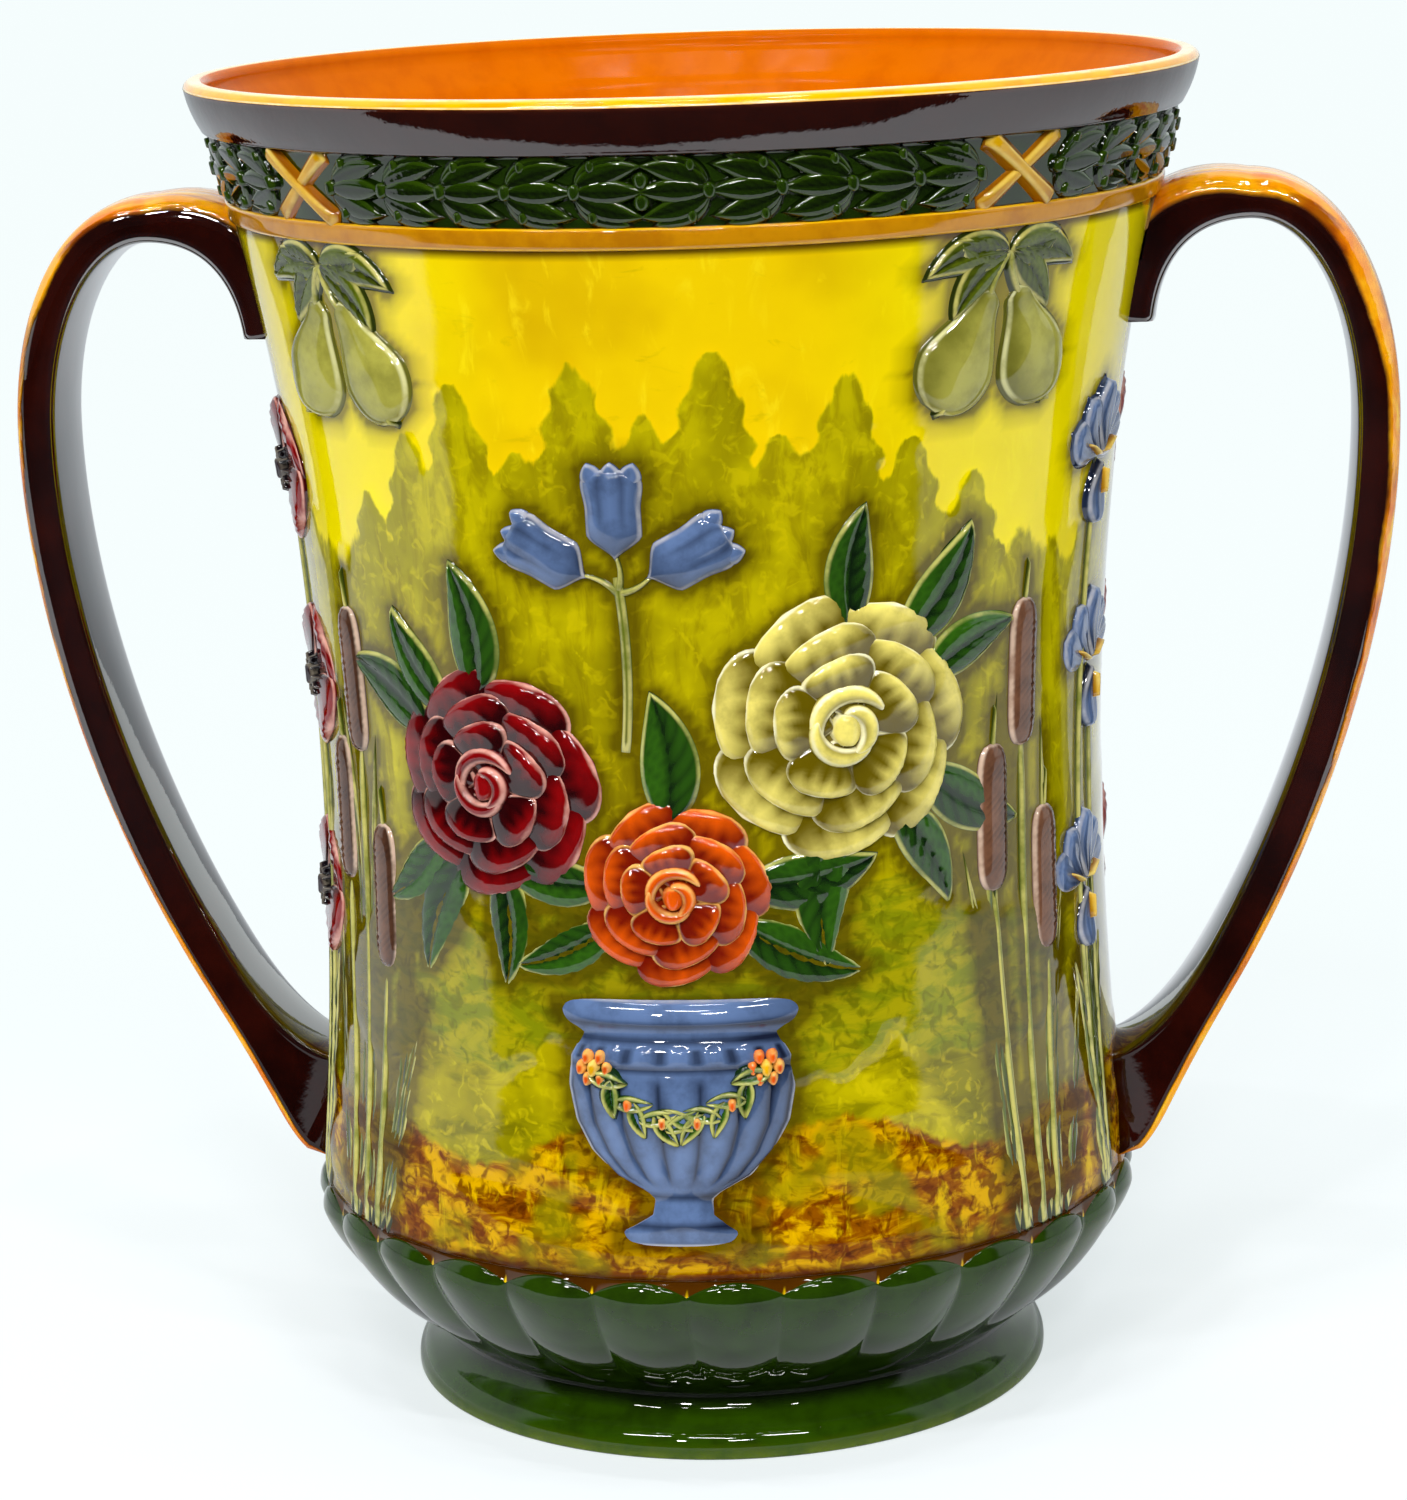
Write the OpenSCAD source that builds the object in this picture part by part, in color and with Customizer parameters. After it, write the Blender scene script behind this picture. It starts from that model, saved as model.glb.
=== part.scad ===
// A two-handled loving cup in glazed earthenware, built up from clay pieces that
// are luted together with slip: a turned foot ring, a gadrooned bowl, a tall waisted
// wall with a moulded rim, two strap handles, and sprigs pressed in low relief.
// Handles point along X, the front panel faces -Y, and the foot stands on Z = 0.

/* [Cup] */
// Height of the whole cup
cup_h = 255; // [235:1:290]
// Radius of the lip
rim_r = 95; // [92:0.5:110]
// Thickness of the wall
wall_t = 5; // [3.5:0.25:7]
// Thickness of a layer of luting slip
slip_t = 0.4; // [0.2:0.1:0.8]

/* [Foot] */
// Radius of the foot's edge
foot_r = 62.5; // [58:0.5:72]
// Height of the foot's upright edge
foot_edge_h = 5; // [3:0.5:6.5]
// Height of the foot ring
foot_h = 9.1; // [8:0.1:14]
// Radius of the neck where the bowl stands on the foot
foot_neck_r = 54.5; // [50:0.5:57]
// Radius of the opening under the foot
foot_bore_r = 46; // [30:0.5:48]
// Chamfer along the foot's lower edge
foot_chamfer = 0.8; // [0.3:0.1:1.5]
// Rounding of the foot's upper edge
foot_round = 3; // [1.5:0.25:3]

/* [Gadrooned bowl] */
// Radius of the bowl over its lobes
bowl_r = 80.8; // [80:0.1:84]
// Height of the bowl
bowl_h = 32; // [26:0.5:42]
// Height from the bowl's top down to its widest ring
bowl_shoulder_h = 4.5; // [3:0.5:7]
// Number of lobes
lobe_count = 28; // [20:1:36]
// Depth of the grooves between lobes
lobe_depth = 1.8; // [0.6:0.1:2.2]
// Height of the plain bowl under the lobes
lobe_clear_h = 6; // [3:0.5:9]
// How far the scalloped lobe tops dip at the grooves
scallop_depth = 1.6; // [0.5:0.1:2.2]
// Thickness of the floor
floor_t = 6.5; // [4:0.5:9]

/* [Wall] */
// Radius at the base of the wall
wall_base_r = 79; // [77:0.5:79.5]
// Radius at the waist of the wall
wall_waist_r = 74.8; // [70:0.2:78]
// Height of the waist above the base of the wall
wall_waist_h = 71; // [55:1:90]
// Radius at the neck, under the cordon
wall_neck_r = 86.8; // [84:0.2:88.5]
// How sharply the wall flares towards the neck
wall_flare = 2.2; // [1.6:0.1:2.8]

/* [Rim and bands] */
// Height of the moulded rim
rim_h = 8.5; // [6:0.5:11]
// How far the rim overhangs the band below it
rim_overhang = 2; // [1.6:0.1:3]
// Thickness of the rim
rim_t = 4.5; // [4:0.25:8]
// Radius of the rounded lip
lip_round = 1.8; // [1:0.1:2.2]
// Height of the laurel band
laurel_h = 13.7; // [11:0.1:17]
// Radius of the ground at the top of the laurel band
laurel_top_r = 90.3; // [89:0.1:92]
// Height of the cordon
cordon_h = 4; // [3:0.2:6]
// How far the cordon stands proud
cordon_rise = 1; // [0.5:0.1:1.6]

/* [Laurel and ribbons] */
// Length of a laurel leaf
laurel_leaf_l = 13; // [10:0.5:16]
// Width of a laurel leaf
laurel_leaf_w = 4.4; // [3:0.2:5]
// Bundles of leaves on each half of a strip
laurel_bundles = 4; // [2:1:4]
// How far the leaves stand proud
laurel_rise = 1.5; // [0.8:0.1:2]
// Width of a ribbon
ribbon_w = 3.4; // [2:0.2:5]
// Width of a ribbon cross along the band
ribbon_cross_w = 16; // [12:0.5:20]
// How far the ribbons stand proud
ribbon_rise = 1.8; // [0.9:0.1:2.4]

/* [Handles] */
// Reach of the handles from the cup's axis
handle_reach = 132; // [122:0.5:145]
// Width of the strap
strap_w = 24; // [16:0.5:30]
// Thickness of the strap
strap_t = 9; // [6:0.25:12]
// Height of the handle's widest point above the base of the wall
handle_wide_h = 144; // [125:1:150]
// Height of the middle of the lower root above the base of the wall
handle_root_h = 12.5; // [12:0.5:20]
// Extra half thickness at the lower root
root_flare = 7.3; // [4:0.1:9]
// How far the middle of the arch stands above the cordon's lower edge
arch_rise = -0.8; // [-6:0.2:2]
// Distance of the top of the arch from the cup's axis
arch_at = 104; // [100:0.5:108]
// Drop of the hook's tip below the cordon
hook_drop = 23.3; // [18:0.1:30]
// Thickness of the hook's tip over the wall
hook_tip_t = 4.4; // [4:0.1:7]

/* [Relief] */
// How far leaves and stems stand proud
leaf_rise = 1.3; // [0.8:0.1:2]
// How far petals, fruit and the urn stand proud
bloom_rise = 2; // [1.2:0.1:2.6]
// How far the hearts of the blooms stand proud
heart_rise = 2.8; // [1.6:0.1:3.4]
// Width of a stem
stem_w = 2; // [1.2:0.1:3]
// Gap between neighbouring sprigs
sprig_gap = 0.6; // [0.3:0.1:1.2]

/* [Bouquet] */
// Height of the urn
urn_h = 46; // [38:0.5:47]
// Width of the urn's rim
urn_rim_w = 46; // [36:0.5:50]
// Width of the urn's body
urn_body_w = 42; // [32:0.5:46]
// Width of the urn's base
urn_base_w = 24; // [16:0.5:30]
// Radius of the orange rose
orange_rose_r = 17; // [13:0.25:17.25]
// Radius of the crimson rose
crimson_rose_r = 21; // [16:0.25:21.25]
// Radius of the cream rose
cream_rose_r = 24; // [18:0.25:24.25]
// Length of a bellflower
bellflower_l = 17; // [12:0.25:18]
// Length of a rose leaf
rose_leaf_l = 21; // [15:0.5:21.5]
// Width of a rose leaf
rose_leaf_w = 10; // [6:0.25:10.25]

/* [Border plants] */
// Angle of the bulrushes from the middle of the panel
bulrush_angle = 54; // [53.5:0.5:55]
// Height of the tallest bulrush
bulrush_h = 118; // [95:1:125]
// Length of a bulrush head
bulrush_head_l = 28; // [20:0.5:31]
// Width of a bulrush head
bulrush_head_w = 7.5; // [5:0.25:7.75]
// Angle of the tall border blooms from the middle of the panel
bloom_angle = 73; // [71.5:0.5:73]
// Height of the tall blooms
bloom_h = 140; // [120:1:146]
// Radius of a poppy
poppy_r = 13; // [9:0.25:13.25]
// Length of an iris petal
iris_l = 13.5; // [11:0.25:15.5]

/* [Pears] */
// Radius of a pear
pear_r = 8.5; // [6:0.25:9]
// Drop of the pears' twig below the cordon
pear_drop = 4; // [3:0.5:8]
// Length of a pear leaf
pear_leaf_l = 15; // [11:0.5:15.5]

/* [Hidden] */
$fn = 96;

FRONT = -90;
BACK = 90;
RIGHT = 0;
LEFT = 180;
QUARTER = 45;

// Heights of the seams and bands
bowl_z = foot_h + slip_t;
bowl_top_z = bowl_z + bowl_h;
wall_z = bowl_top_z + slip_t;
rim_z = cup_h - rim_h;
laurel_z = rim_z - laurel_h;
cordon_z = laurel_z - cordon_h;
waist_z = wall_z + wall_waist_h;
wide_z = bowl_top_z - bowl_shoulder_h;
floor_z = bowl_z + floor_t;

// Outlines of the vessel
wall_steps = 24;
bowl_curve = 1.3;
bowl_fullness = 0.75;
floor_fullness = 0.55;
lip_steps = 6;
foot_steps = 6;
foot_round_turn = 75;
foot_round_sink = 0.75;
cordon_steps = 8;
cordon_squareness = 4;
cordon_edge_share = 0.2;
inner_base_r = wall_base_r - wall_t;
cordon_r = wall_neck_r + (laurel_top_r - wall_neck_r) * cordon_h / (rim_z - cordon_z) + cordon_rise;
inlet = 20;

function wall_r(z) =
    z < waist_z
    ? wall_waist_r + (wall_base_r - wall_waist_r) * pow((waist_z - z) / wall_waist_h, 2)
    : wall_waist_r + (wall_neck_r - wall_waist_r) * pow((z - waist_z) / (cordon_z - waist_z), wall_flare);

function band_r(z) = wall_neck_r + (laurel_top_r - wall_neck_r) * (z - cordon_z) / (rim_z - cordon_z);

function step_z(i) = wall_z + (cordon_z - wall_z) * i / wall_steps;

function wall_outline(rise, from = 0, to = wall_steps) =
    [for (i = [from:to]) [wall_r(step_z(i)) + rise, step_z(i)]];

function reversed(list) = [for (i = [len(list) - 1:-1:0]) list[i]];

// Foot: an upright edge that rounds over, then a hollow sweep up to the neck
function foot_edge(turn) = [
    foot_r - foot_round * (1 - cos(turn)),
    foot_edge_h + foot_round * (sin(turn) - foot_round_sink)
];

function foot_sweep(t) =
    let (start = foot_edge(foot_round_turn))
    [
        foot_neck_r + (start[0] - foot_neck_r) * pow(1 - t, 2),
        start[1] + (foot_h - start[1]) * t
    ];

module foot() {
    color("darkolivegreen")
    rotate_extrude()
    polygon(concat(
        [[foot_bore_r, 0], [foot_r - foot_chamfer, 0], [foot_r, foot_chamfer]],
        [for (i = [0:foot_steps]) foot_edge(foot_round_turn * i / foot_steps)],
        [for (i = [1:foot_steps]) foot_sweep(i / foot_steps)],
        [[foot_bore_r, foot_h]]
    ));
}

module slip_ring(inner, outer, z) {
    color("saddlebrown")
    rotate_extrude()
    translate([inner, z])
    square([outer - inner, slip_t]);
}

module foot_slip() {
    slip_ring(foot_bore_r, foot_neck_r, foot_h);
}

module wall_slip() {
    slip_ring(inner_base_r, wall_base_r, bowl_top_z);
}

// Gadrooned bowl: rings of points, lobed outside and round inside.
// Across a lobe x runs from -1 to 1, and the groove falls away with its square.
lobe_sides = 4;
bowl_columns = lobe_count * lobe_sides;
under_rows = 9;
shoulder_shares = [0.5, 0.8, 0.95, 1];
inner_rows = 6;

function lobe_x(j) = 2 * (j % lobe_sides) / lobe_sides - 1;

function bowl_profile(z) =
    foot_neck_r + (bowl_r - foot_neck_r)
    * pow(1 - pow((wide_z - z) / (wide_z - bowl_z), bowl_curve), bowl_fullness);

function groove(z) =
    lobe_depth * min(1, max(0, (z - bowl_z - lobe_clear_h) / (2 * lobe_clear_h)));

function under_point(j, k) =
    let (z = bowl_z + (wide_z - bowl_z) * (1 - cos(90 * k / under_rows)))
    [bowl_profile(z) - groove(z) * pow(lobe_x(j), 2), z];

function shoulder_point(j, share) =
    let (dip = scallop_depth * pow(lobe_x(j), 2))
    let (lobe_r = bowl_r - lobe_depth * pow(lobe_x(j), 2))
    [
        wall_base_r + (lobe_r - wall_base_r) * sqrt(1 - share * share),
        wide_z + share * (bowl_shoulder_h - slip_t - dip)
    ];

function inner_point(k) =
    let (a = 90 * k / inner_rows)
    let (depth = (bowl_top_z - floor_z) * pow(sin(a), floor_fullness))
    [inner_base_r * pow(cos(a), floor_fullness), bowl_top_z - depth];

function column(j) = concat(
    [for (k = [0:under_rows]) under_point(j, k)],
    [for (share = shoulder_shares) shoulder_point(j, share)],
    [[wall_base_r, bowl_top_z]],
    [for (k = [0:inner_rows - 1]) inner_point(k)]
);

module gadroon_bowl() {
    rows = len(column(0));
    under_centre = bowl_columns * rows;
    floor_centre = under_centre + 1;
    points = concat(
        [for (j = [0:bowl_columns - 1], p = column(j))
            let (a = 360 * j / bowl_columns)
            [p[0] * cos(a), p[0] * sin(a), p[1]]],
        [[0, 0, bowl_z], [0, 0, floor_z]]
    );
    faces = [for (j = [0:bowl_columns - 1])
        let (here = j * rows, next = ((j + 1) % bowl_columns) * rows)
        each concat(
            [for (k = [0:rows - 2]) each [
                [here + k, here + k + 1, next + k + 1],
                [here + k, next + k + 1, next + k]
            ]],
            [[under_centre, here, next]],
            [[floor_centre, next + rows - 1, here + rows - 1]]
        )];
    color("darkgreen") polyhedron(points, faces, convexity = 4);
}

// Wall: the waisted picture wall, the band above it and the moulded rim in one
inner_rim_r = rim_r - rim_t;

function lip_outline() = concat(
    [for (i = [0:lip_steps])
        let (a = 90 * i / lip_steps)
        [rim_r - lip_round * (1 - cos(a)), cup_h - lip_round * (1 - sin(a))]],
    [for (i = [0:lip_steps])
        let (a = 90 * i / lip_steps)
        [inner_rim_r + lip_round * (1 - sin(a)), cup_h - lip_round * (1 - cos(a))]]
);

module wall() {
    color("goldenrod")
    rotate_extrude()
    polygon(concat(
        wall_outline(0),
        [[laurel_top_r, rim_z], [laurel_top_r + rim_overhang, rim_z]],
        lip_outline(),
        [[laurel_top_r - wall_t, rim_z]],
        reversed(wall_outline(-wall_t))
    ));
}

module cordon() {
    color("sandybrown")
    rotate_extrude()
    polygon(concat(
        [[band_r(laurel_z), laurel_z], [band_r(cordon_z), cordon_z]],
        [for (i = [0:cordon_steps])
            let (z = cordon_z + cordon_h * i / cordon_steps)
            let (x = 2 * i / cordon_steps - 1)
            let (share = cordon_edge_share + (1 - cordon_edge_share) * sqrt(1 - pow(x, cordon_squareness)))
            [band_r(z) + cordon_rise * share, z]]
    ));
}

// A sprig is an outline carried straight in towards the axis, and kept only where it
// lies in a thin skin over the vessel, so that its back fits the curve it is luted to.
module stamp(angle, z) {
    rotate([0, 0, angle])
    translate([wall_waist_r - inlet, 0, z])
    rotate([90, 0, 90])
    linear_extrude(2 * inlet + rim_r - wall_waist_r)
    children();
}

module wall_skin(rise, low, high) {
    first = max(0, floor(wall_steps * (low - wall_z) / (cordon_z - wall_z)));
    last = min(wall_steps, ceil(wall_steps * (high - wall_z) / (cordon_z - wall_z)));
    rotate_extrude()
    polygon(concat(wall_outline(0, first, last), reversed(wall_outline(rise, first, last))));
}

module band_skin(rise) {
    rotate_extrude()
    polygon([
        [band_r(laurel_z), laurel_z], [band_r(laurel_z) + rise, laurel_z],
        [laurel_top_r + rise, rim_z], [laurel_top_r, rim_z]
    ]);
}

module wall_sprig(angle, z, rise, below, above) {
    intersection() {
        stamp(angle, z) children();
        wall_skin(rise, z - below, z + above);
    }
}

module band_sprig(angle, z, rise) {
    intersection() {
        stamp(angle, z) children();
        band_skin(rise);
    }
}

// A pointed leaf from the origin along +Y, between two arcs
module leaf_shape(length, width) {
    arc_r = (length * length + width * width) / (4 * width);
    translate([0, length / 2])
    intersection() {
        translate([arc_r - width / 2, 0]) circle(arc_r);
        translate([width / 2 - arc_r, 0]) circle(arc_r);
    }
}

// Laurel: on each half strip, bundles of three leaves that point to its middle
band_mid_z = (laurel_z + rim_z) / 2;
band_mid_r = band_r(band_mid_z);
berry_r = 1.6;
berry_spread = 1.2;
leaf_spread = 24;
bundle_slack = 0.2;
strip_half = QUARTER - (ribbon_cross_w / 2 + sprig_gap) / band_mid_r * 180 / PI;
bundle_inset = berry_r / band_mid_r * 180 / PI;
bundle_step = (strip_half - bundle_inset) / (laurel_bundles + bundle_slack);

module laurel_bundle() {
    circle(berry_r);
    for (turn = [-leaf_spread, 0, leaf_spread])
        rotate(turn - 90) leaf_shape(laurel_leaf_l, laurel_leaf_w);
}

module laurel_stem(angle) {
    rotate([0, 0, angle - strip_half])
    rotate_extrude(angle = 2 * strip_half)
    translate([band_mid_r - inlet, band_mid_z - stem_w / 2])
    square([2 * inlet, stem_w]);
}

module laurel_strip(angle) {
    color("darkslategray")
    intersection() {
        band_skin(laurel_rise);
        union() {
            laurel_stem(angle);
            for (i = [0:laurel_bundles - 1], side = [-1, 1])
                stamp(angle + side * (strip_half - bundle_step * i - bundle_inset), band_mid_z)
                scale([-side, 1]) laurel_bundle();
            stamp(angle, band_mid_z)
            for (y = [-1, 1])
                translate([0, y * berry_spread * berry_r]) circle(berry_r);
        }
    }
}

module laurel_front() {
    laurel_strip(FRONT);
}

module laurel_right() {
    laurel_strip(RIGHT);
}

module laurel_back() {
    laurel_strip(BACK);
}

module laurel_left() {
    laurel_strip(LEFT);
}

// Ribbons: two straps that cross over the wreath
ribbon_lean = atan((ribbon_cross_w - ribbon_w) / laurel_h);

module ribbon_cross(angle) {
    color("darkkhaki")
    band_sprig(angle, band_mid_z, ribbon_rise)
    intersection() {
        square([ribbon_cross_w, 2 * laurel_h], center = true);
        union() {
            for (lean = [-ribbon_lean, ribbon_lean])
                rotate(lean) square([ribbon_w, 4 * laurel_h], center = true);
        }
    }
}

module ribbon_front_right() {
    ribbon_cross(FRONT + QUARTER);
}

module ribbon_back_right() {
    ribbon_cross(BACK - QUARTER);
}

module ribbon_back_left() {
    ribbon_cross(BACK + QUARTER);
}

module ribbon_front_left() {
    ribbon_cross(FRONT - QUARTER);
}

// Handles: a strap along three curves, a long lower sweep, an arch, and a hook
// that turns down against the wall. A curve holds its four control points.
wide_r = handle_reach - strap_t / 2;
root_z = wall_z + handle_root_h;
handle_wide_z = wall_z + handle_wide_h;
arch_z = cordon_z + arch_rise;
hook_z = cordon_z - hook_drop;
hook_r = wall_r(hook_z) + hook_tip_t / 2;
root_r = wall_r(root_z);
sweep_steps = 18;
arch_steps = 12;
hook_steps = 10;
flare_share = 0.35;
hook_fill = 8;
root_depth = 12;
root_pull = [0.26, 0.045];
sweep_pull = 0.465;
arch_pull = [0.6, 0.56];
hook_pull = [0.6, 0.64];

sweep_curve = [
    [root_r, root_z],
    [root_r + root_pull[0] * (wide_r - root_r), root_z + root_pull[1] * (handle_wide_z - root_z)],
    [wide_r, handle_wide_z - sweep_pull * (handle_wide_z - root_z)],
    [wide_r, handle_wide_z]
];
arch_curve = [
    [wide_r, handle_wide_z],
    [wide_r, handle_wide_z + arch_pull[0] * (arch_z - handle_wide_z)],
    [arch_at + arch_pull[1] * (wide_r - arch_at), arch_z],
    [arch_at, arch_z]
];
hook_curve = [
    [arch_at, arch_z],
    [arch_at - hook_pull[0] * (arch_at - hook_r), arch_z],
    [hook_r, hook_z + hook_pull[1] * (arch_z - hook_z)],
    [hook_r, hook_z]
];

function on_curve(c, t) =
    pow(1 - t, 3) * c[0] + 3 * t * pow(1 - t, 2) * c[1] + 3 * t * t * (1 - t) * c[2] + pow(t, 3) * c[3];

function along(c, t) =
    let (d = pow(1 - t, 2) * (c[1] - c[0]) + 2 * t * (1 - t) * (c[2] - c[1]) + t * t * (c[3] - c[2]))
    d / norm(d);

function offset_point(c, t, out) =
    let (d = along(c, t))
    on_curve(c, t) + out * [d[1], -d[0]];

function flare(t) = t < flare_share ? root_flare * pow(1 - t / flare_share, 2) : 0;

function strap_edge(out, flare_sign, fill, tip) = concat(
    [offset_point(sweep_curve, 0, out + flare_sign * flare(0)) - root_depth * along(sweep_curve, 0)],
    [for (i = [0:sweep_steps - 1])
        let (t = i / sweep_steps)
        offset_point(sweep_curve, t, out + flare_sign * flare(t))],
    [for (i = [0:arch_steps - 1]) offset_point(arch_curve, i / arch_steps, out)],
    [for (i = [0:hook_steps])
        let (t = i / hook_steps)
        offset_point(hook_curve, t, out + (tip - out) * t * t + fill * t)]
);

function strap_outline() = concat(
    strap_edge(strap_t / 2, 1, hook_fill, strap_t / 2),
    reversed(strap_edge(-strap_t / 2, -1, 0, -hook_tip_t / 2))
);

module strap(angle) {
    rotate([0, 0, angle])
    rotate([90, 0, 0])
    translate([0, 0, -strap_w / 2])
    linear_extrude(strap_w)
    polygon(strap_outline());
}

// The space that the vessel takes up, with a layer of slip over it
module vessel_space() {
    rotate_extrude()
    polygon(concat(
        [[0, 0], [bowl_r + slip_t, 0], [bowl_r + slip_t, wall_z]],
        wall_outline(slip_t),
        [[cordon_r + slip_t, cordon_z], [cordon_r + slip_t, laurel_z]],
        [[rim_r + slip_t, laurel_z], [rim_r + slip_t, cup_h], [0, cup_h]]
    ));
}

module handle(angle) {
    color("saddlebrown")
    difference() {
        strap(angle);
        vessel_space();
    }
}

module handle_slip(angle, low, high) {
    color("peru")
    intersection() {
        strap(angle);
        wall_skin(slip_t, low, high);
    }
}

module handle_right() {
    handle(RIGHT);
}

module handle_left() {
    handle(LEFT);
}

module handle_right_upper_slip() {
    handle_slip(RIGHT, waist_z, cordon_z);
}

module handle_right_lower_slip() {
    handle_slip(RIGHT, wall_z, waist_z);
}

module handle_left_upper_slip() {
    handle_slip(LEFT, waist_z, cordon_z);
}

module handle_left_lower_slip() {
    handle_slip(LEFT, wall_z, waist_z);
}

// Panel sprigs: places are an offset along the wall from the middle of the panel,
// and a height above the base of the wall
urn_foot_up = 6;
orange_rose_at = [0, 71];
crimson_rose_at = [-34, 90];
cream_rose_at = [31, 100];
bellflowers_at = [-8, 126];

function panel_angle(panel, at) = panel + at[0] / wall_r(wall_z + at[1]) * 180 / PI;

urn_stem_share = 0.22;
urn_base_share = 0.08;
urn_body_share = 0.82;
urn_lip_share = 0.92;
urn_steps = 8;

function urn_body(t) = [
    urn_base_w / 4 + (urn_body_w / 2 - urn_base_w / 4) * sqrt(sin(90 * t)),
    urn_h * (urn_stem_share + (urn_body_share - urn_stem_share) * t)
];

function urn_side() = concat(
    [[urn_base_w / 2, 0], [urn_base_w / 2, urn_h * urn_base_share]],
    [[urn_base_w / 4, urn_h * urn_base_share * 2]],
    [for (i = [0:urn_steps]) urn_body(i / urn_steps)],
    [[urn_rim_w / 2, urn_h * urn_lip_share], [urn_rim_w / 2, urn_h]]
);

module urn_shape() {
    polygon(concat(urn_side(), [for (p = reversed(urn_side())) [-p[0], p[1]]]));
}

module urn(panel) {
    color("slategray")
    wall_sprig(panel, wall_z + urn_foot_up, bloom_rise, 0, urn_h) urn_shape();
}

// A rose: a ring of round petals, an inner ring over them, and a heart
outer_petals = 7;
petal_share = 0.4;
disc_share = 0.75;
heart_share = 0.5;

module rose_shape(radius) {
    petal_r = petal_share * radius;
    circle(disc_share * radius);
    for (i = [0:outer_petals - 1])
        rotate(360 * i / outer_petals) translate([radius - petal_r, 0]) circle(petal_r);
}

module rose(panel, at, radius) {
    angle = panel_angle(panel, at);
    z = wall_z + at[1];
    wall_sprig(angle, z, bloom_rise, radius, radius) rose_shape(radius);
    wall_sprig(angle, z, heart_rise, radius, radius) circle(heart_share * radius);
}

module orange_rose(panel) {
    color("darkorange") rose(panel, orange_rose_at, orange_rose_r);
}

module crimson_rose(panel) {
    color("firebrick") rose(panel, crimson_rose_at, crimson_rose_r);
}

module cream_rose(panel) {
    color("cornsilk") rose(panel, cream_rose_at, cream_rose_r);
}

// Bellflowers: three bells that nod on a branching stem
bell_turns = [-62, 0, 62];
bell_mouth_share = 0.62;
bell_hang_share = 0.45;
bell_skirt_share = 0.35;
bell_stalk_share = 0.6;
bell_reach_share = 1.7;

module bell_shape() {
    mouth = bell_mouth_share * bellflower_l;
    hang = bell_hang_share * bellflower_l;
    skirt = bell_skirt_share * bellflower_l;
    translate([0, hang]) circle(mouth / 2);
    translate([-mouth / 2, hang]) square([mouth, skirt]);
    for (x = [-1, 0, 1])
        translate([x * mouth / 3, hang + skirt]) circle(mouth / 5);
}

module bellflowers(panel) {
    angle = panel_angle(panel, bellflowers_at);
    z = wall_z + bellflowers_at[1];
    reach = bell_reach_share * bellflower_l;
    color("lightsteelblue")
    wall_sprig(angle, z, bloom_rise, reach, reach) {
        for (turn = bell_turns)
            rotate(turn) translate([0, bell_hang_share * bellflower_l]) bell_shape();
        for (turn = bell_turns)
            rotate(turn) translate([-stem_w / 2, 0]) square([stem_w, bell_stalk_share * bellflower_l]);
        translate([-stem_w / 2, -bellflower_l]) square([stem_w, bellflower_l]);
    }
}

// Rose leaves: each springs from the edge of a bloom, in the direction given
crimson_leaf_turns = [100, 126, 246, 272];
cream_leaf_turns = [-95, -60, 52, 82];
orange_leaf_turns = [95];

module bloom_leaves(panel, at, radius, directions) {
    reach = radius + sprig_gap + rose_leaf_l;
    wall_sprig(panel_angle(panel, at), wall_z + at[1], leaf_rise, reach, reach)
    for (direction = directions)
        rotate(direction - 90) translate([0, radius + sprig_gap]) leaf_shape(rose_leaf_l, rose_leaf_w);
}

module rose_leaves(panel) {
    color("darkgreen") {
        bloom_leaves(panel, crimson_rose_at, crimson_rose_r, crimson_leaf_turns);
        bloom_leaves(panel, cream_rose_at, cream_rose_r, cream_leaf_turns);
        bloom_leaves(panel, orange_rose_at, orange_rose_r, orange_leaf_turns);
    }
}

// Bulrushes: three heads on upright stems with long blades beside them
rush_left_w = 8;
rush_right_w = 7;
rush_clump_h = 5;
rush_steps = [-rush_left_w, 0, rush_right_w];
rush_shares = [0.78, 1, 0.66];

module rush_shape() {
    straight = bulrush_head_l - bulrush_head_w;
    for (i = [0:2]) {
        head_z = bulrush_h * rush_shares[i] - bulrush_head_l + bulrush_head_w / 2;
        translate([rush_steps[i] - stem_w / 2, 0]) square([stem_w, head_z]);
        translate([rush_steps[i], head_z]) {
            circle(bulrush_head_w / 2);
            translate([-bulrush_head_w / 2, 0]) square([bulrush_head_w, straight]);
            translate([0, straight]) circle(bulrush_head_w / 2);
        }
    }
    translate([rush_steps[0] - stem_w, 0]) square([rush_steps[2] - rush_steps[0] + 2 * stem_w, rush_clump_h]);
}

module bulrushes(angle) {
    color("rosybrown")
    wall_sprig(angle, wall_z + sprig_gap, leaf_rise, 0, bulrush_h) rush_shape();
}

// Poppies and irises: three blooms on tall stems, one above the other
bloom_sway = 1.5;
bloom_top_sway = 1;
bloom_steps = [-bloom_sway, bloom_sway, -bloom_top_sway];
bloom_shares = [0.42, 0.72, 1];
bloom_leaf_share = 0.36;
bloom_leaf_w = 8;
bloom_leaf_lean = 8;
bloom_clump_w = 8;
poppy_petal_share = 0.55;
iris_turns = [-30, 0, 30, 115, 245];
iris_petal_share = 0.5;
iris_heart_share = 0.3;
petal_tuck = 0.12;

module bloom_stems() {
    for (i = [0:2])
        translate([bloom_steps[i] - stem_w / 2, 0]) square([stem_w, bloom_h * bloom_shares[i]]);
    for (side = [-1, 1])
        rotate(-bloom_leaf_lean * side) translate([0, -stem_w])
        leaf_shape(bloom_leaf_share * bloom_h, bloom_leaf_w);
    translate([-bloom_clump_w / 2, 0]) square([bloom_clump_w, rush_clump_h]);
}

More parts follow.
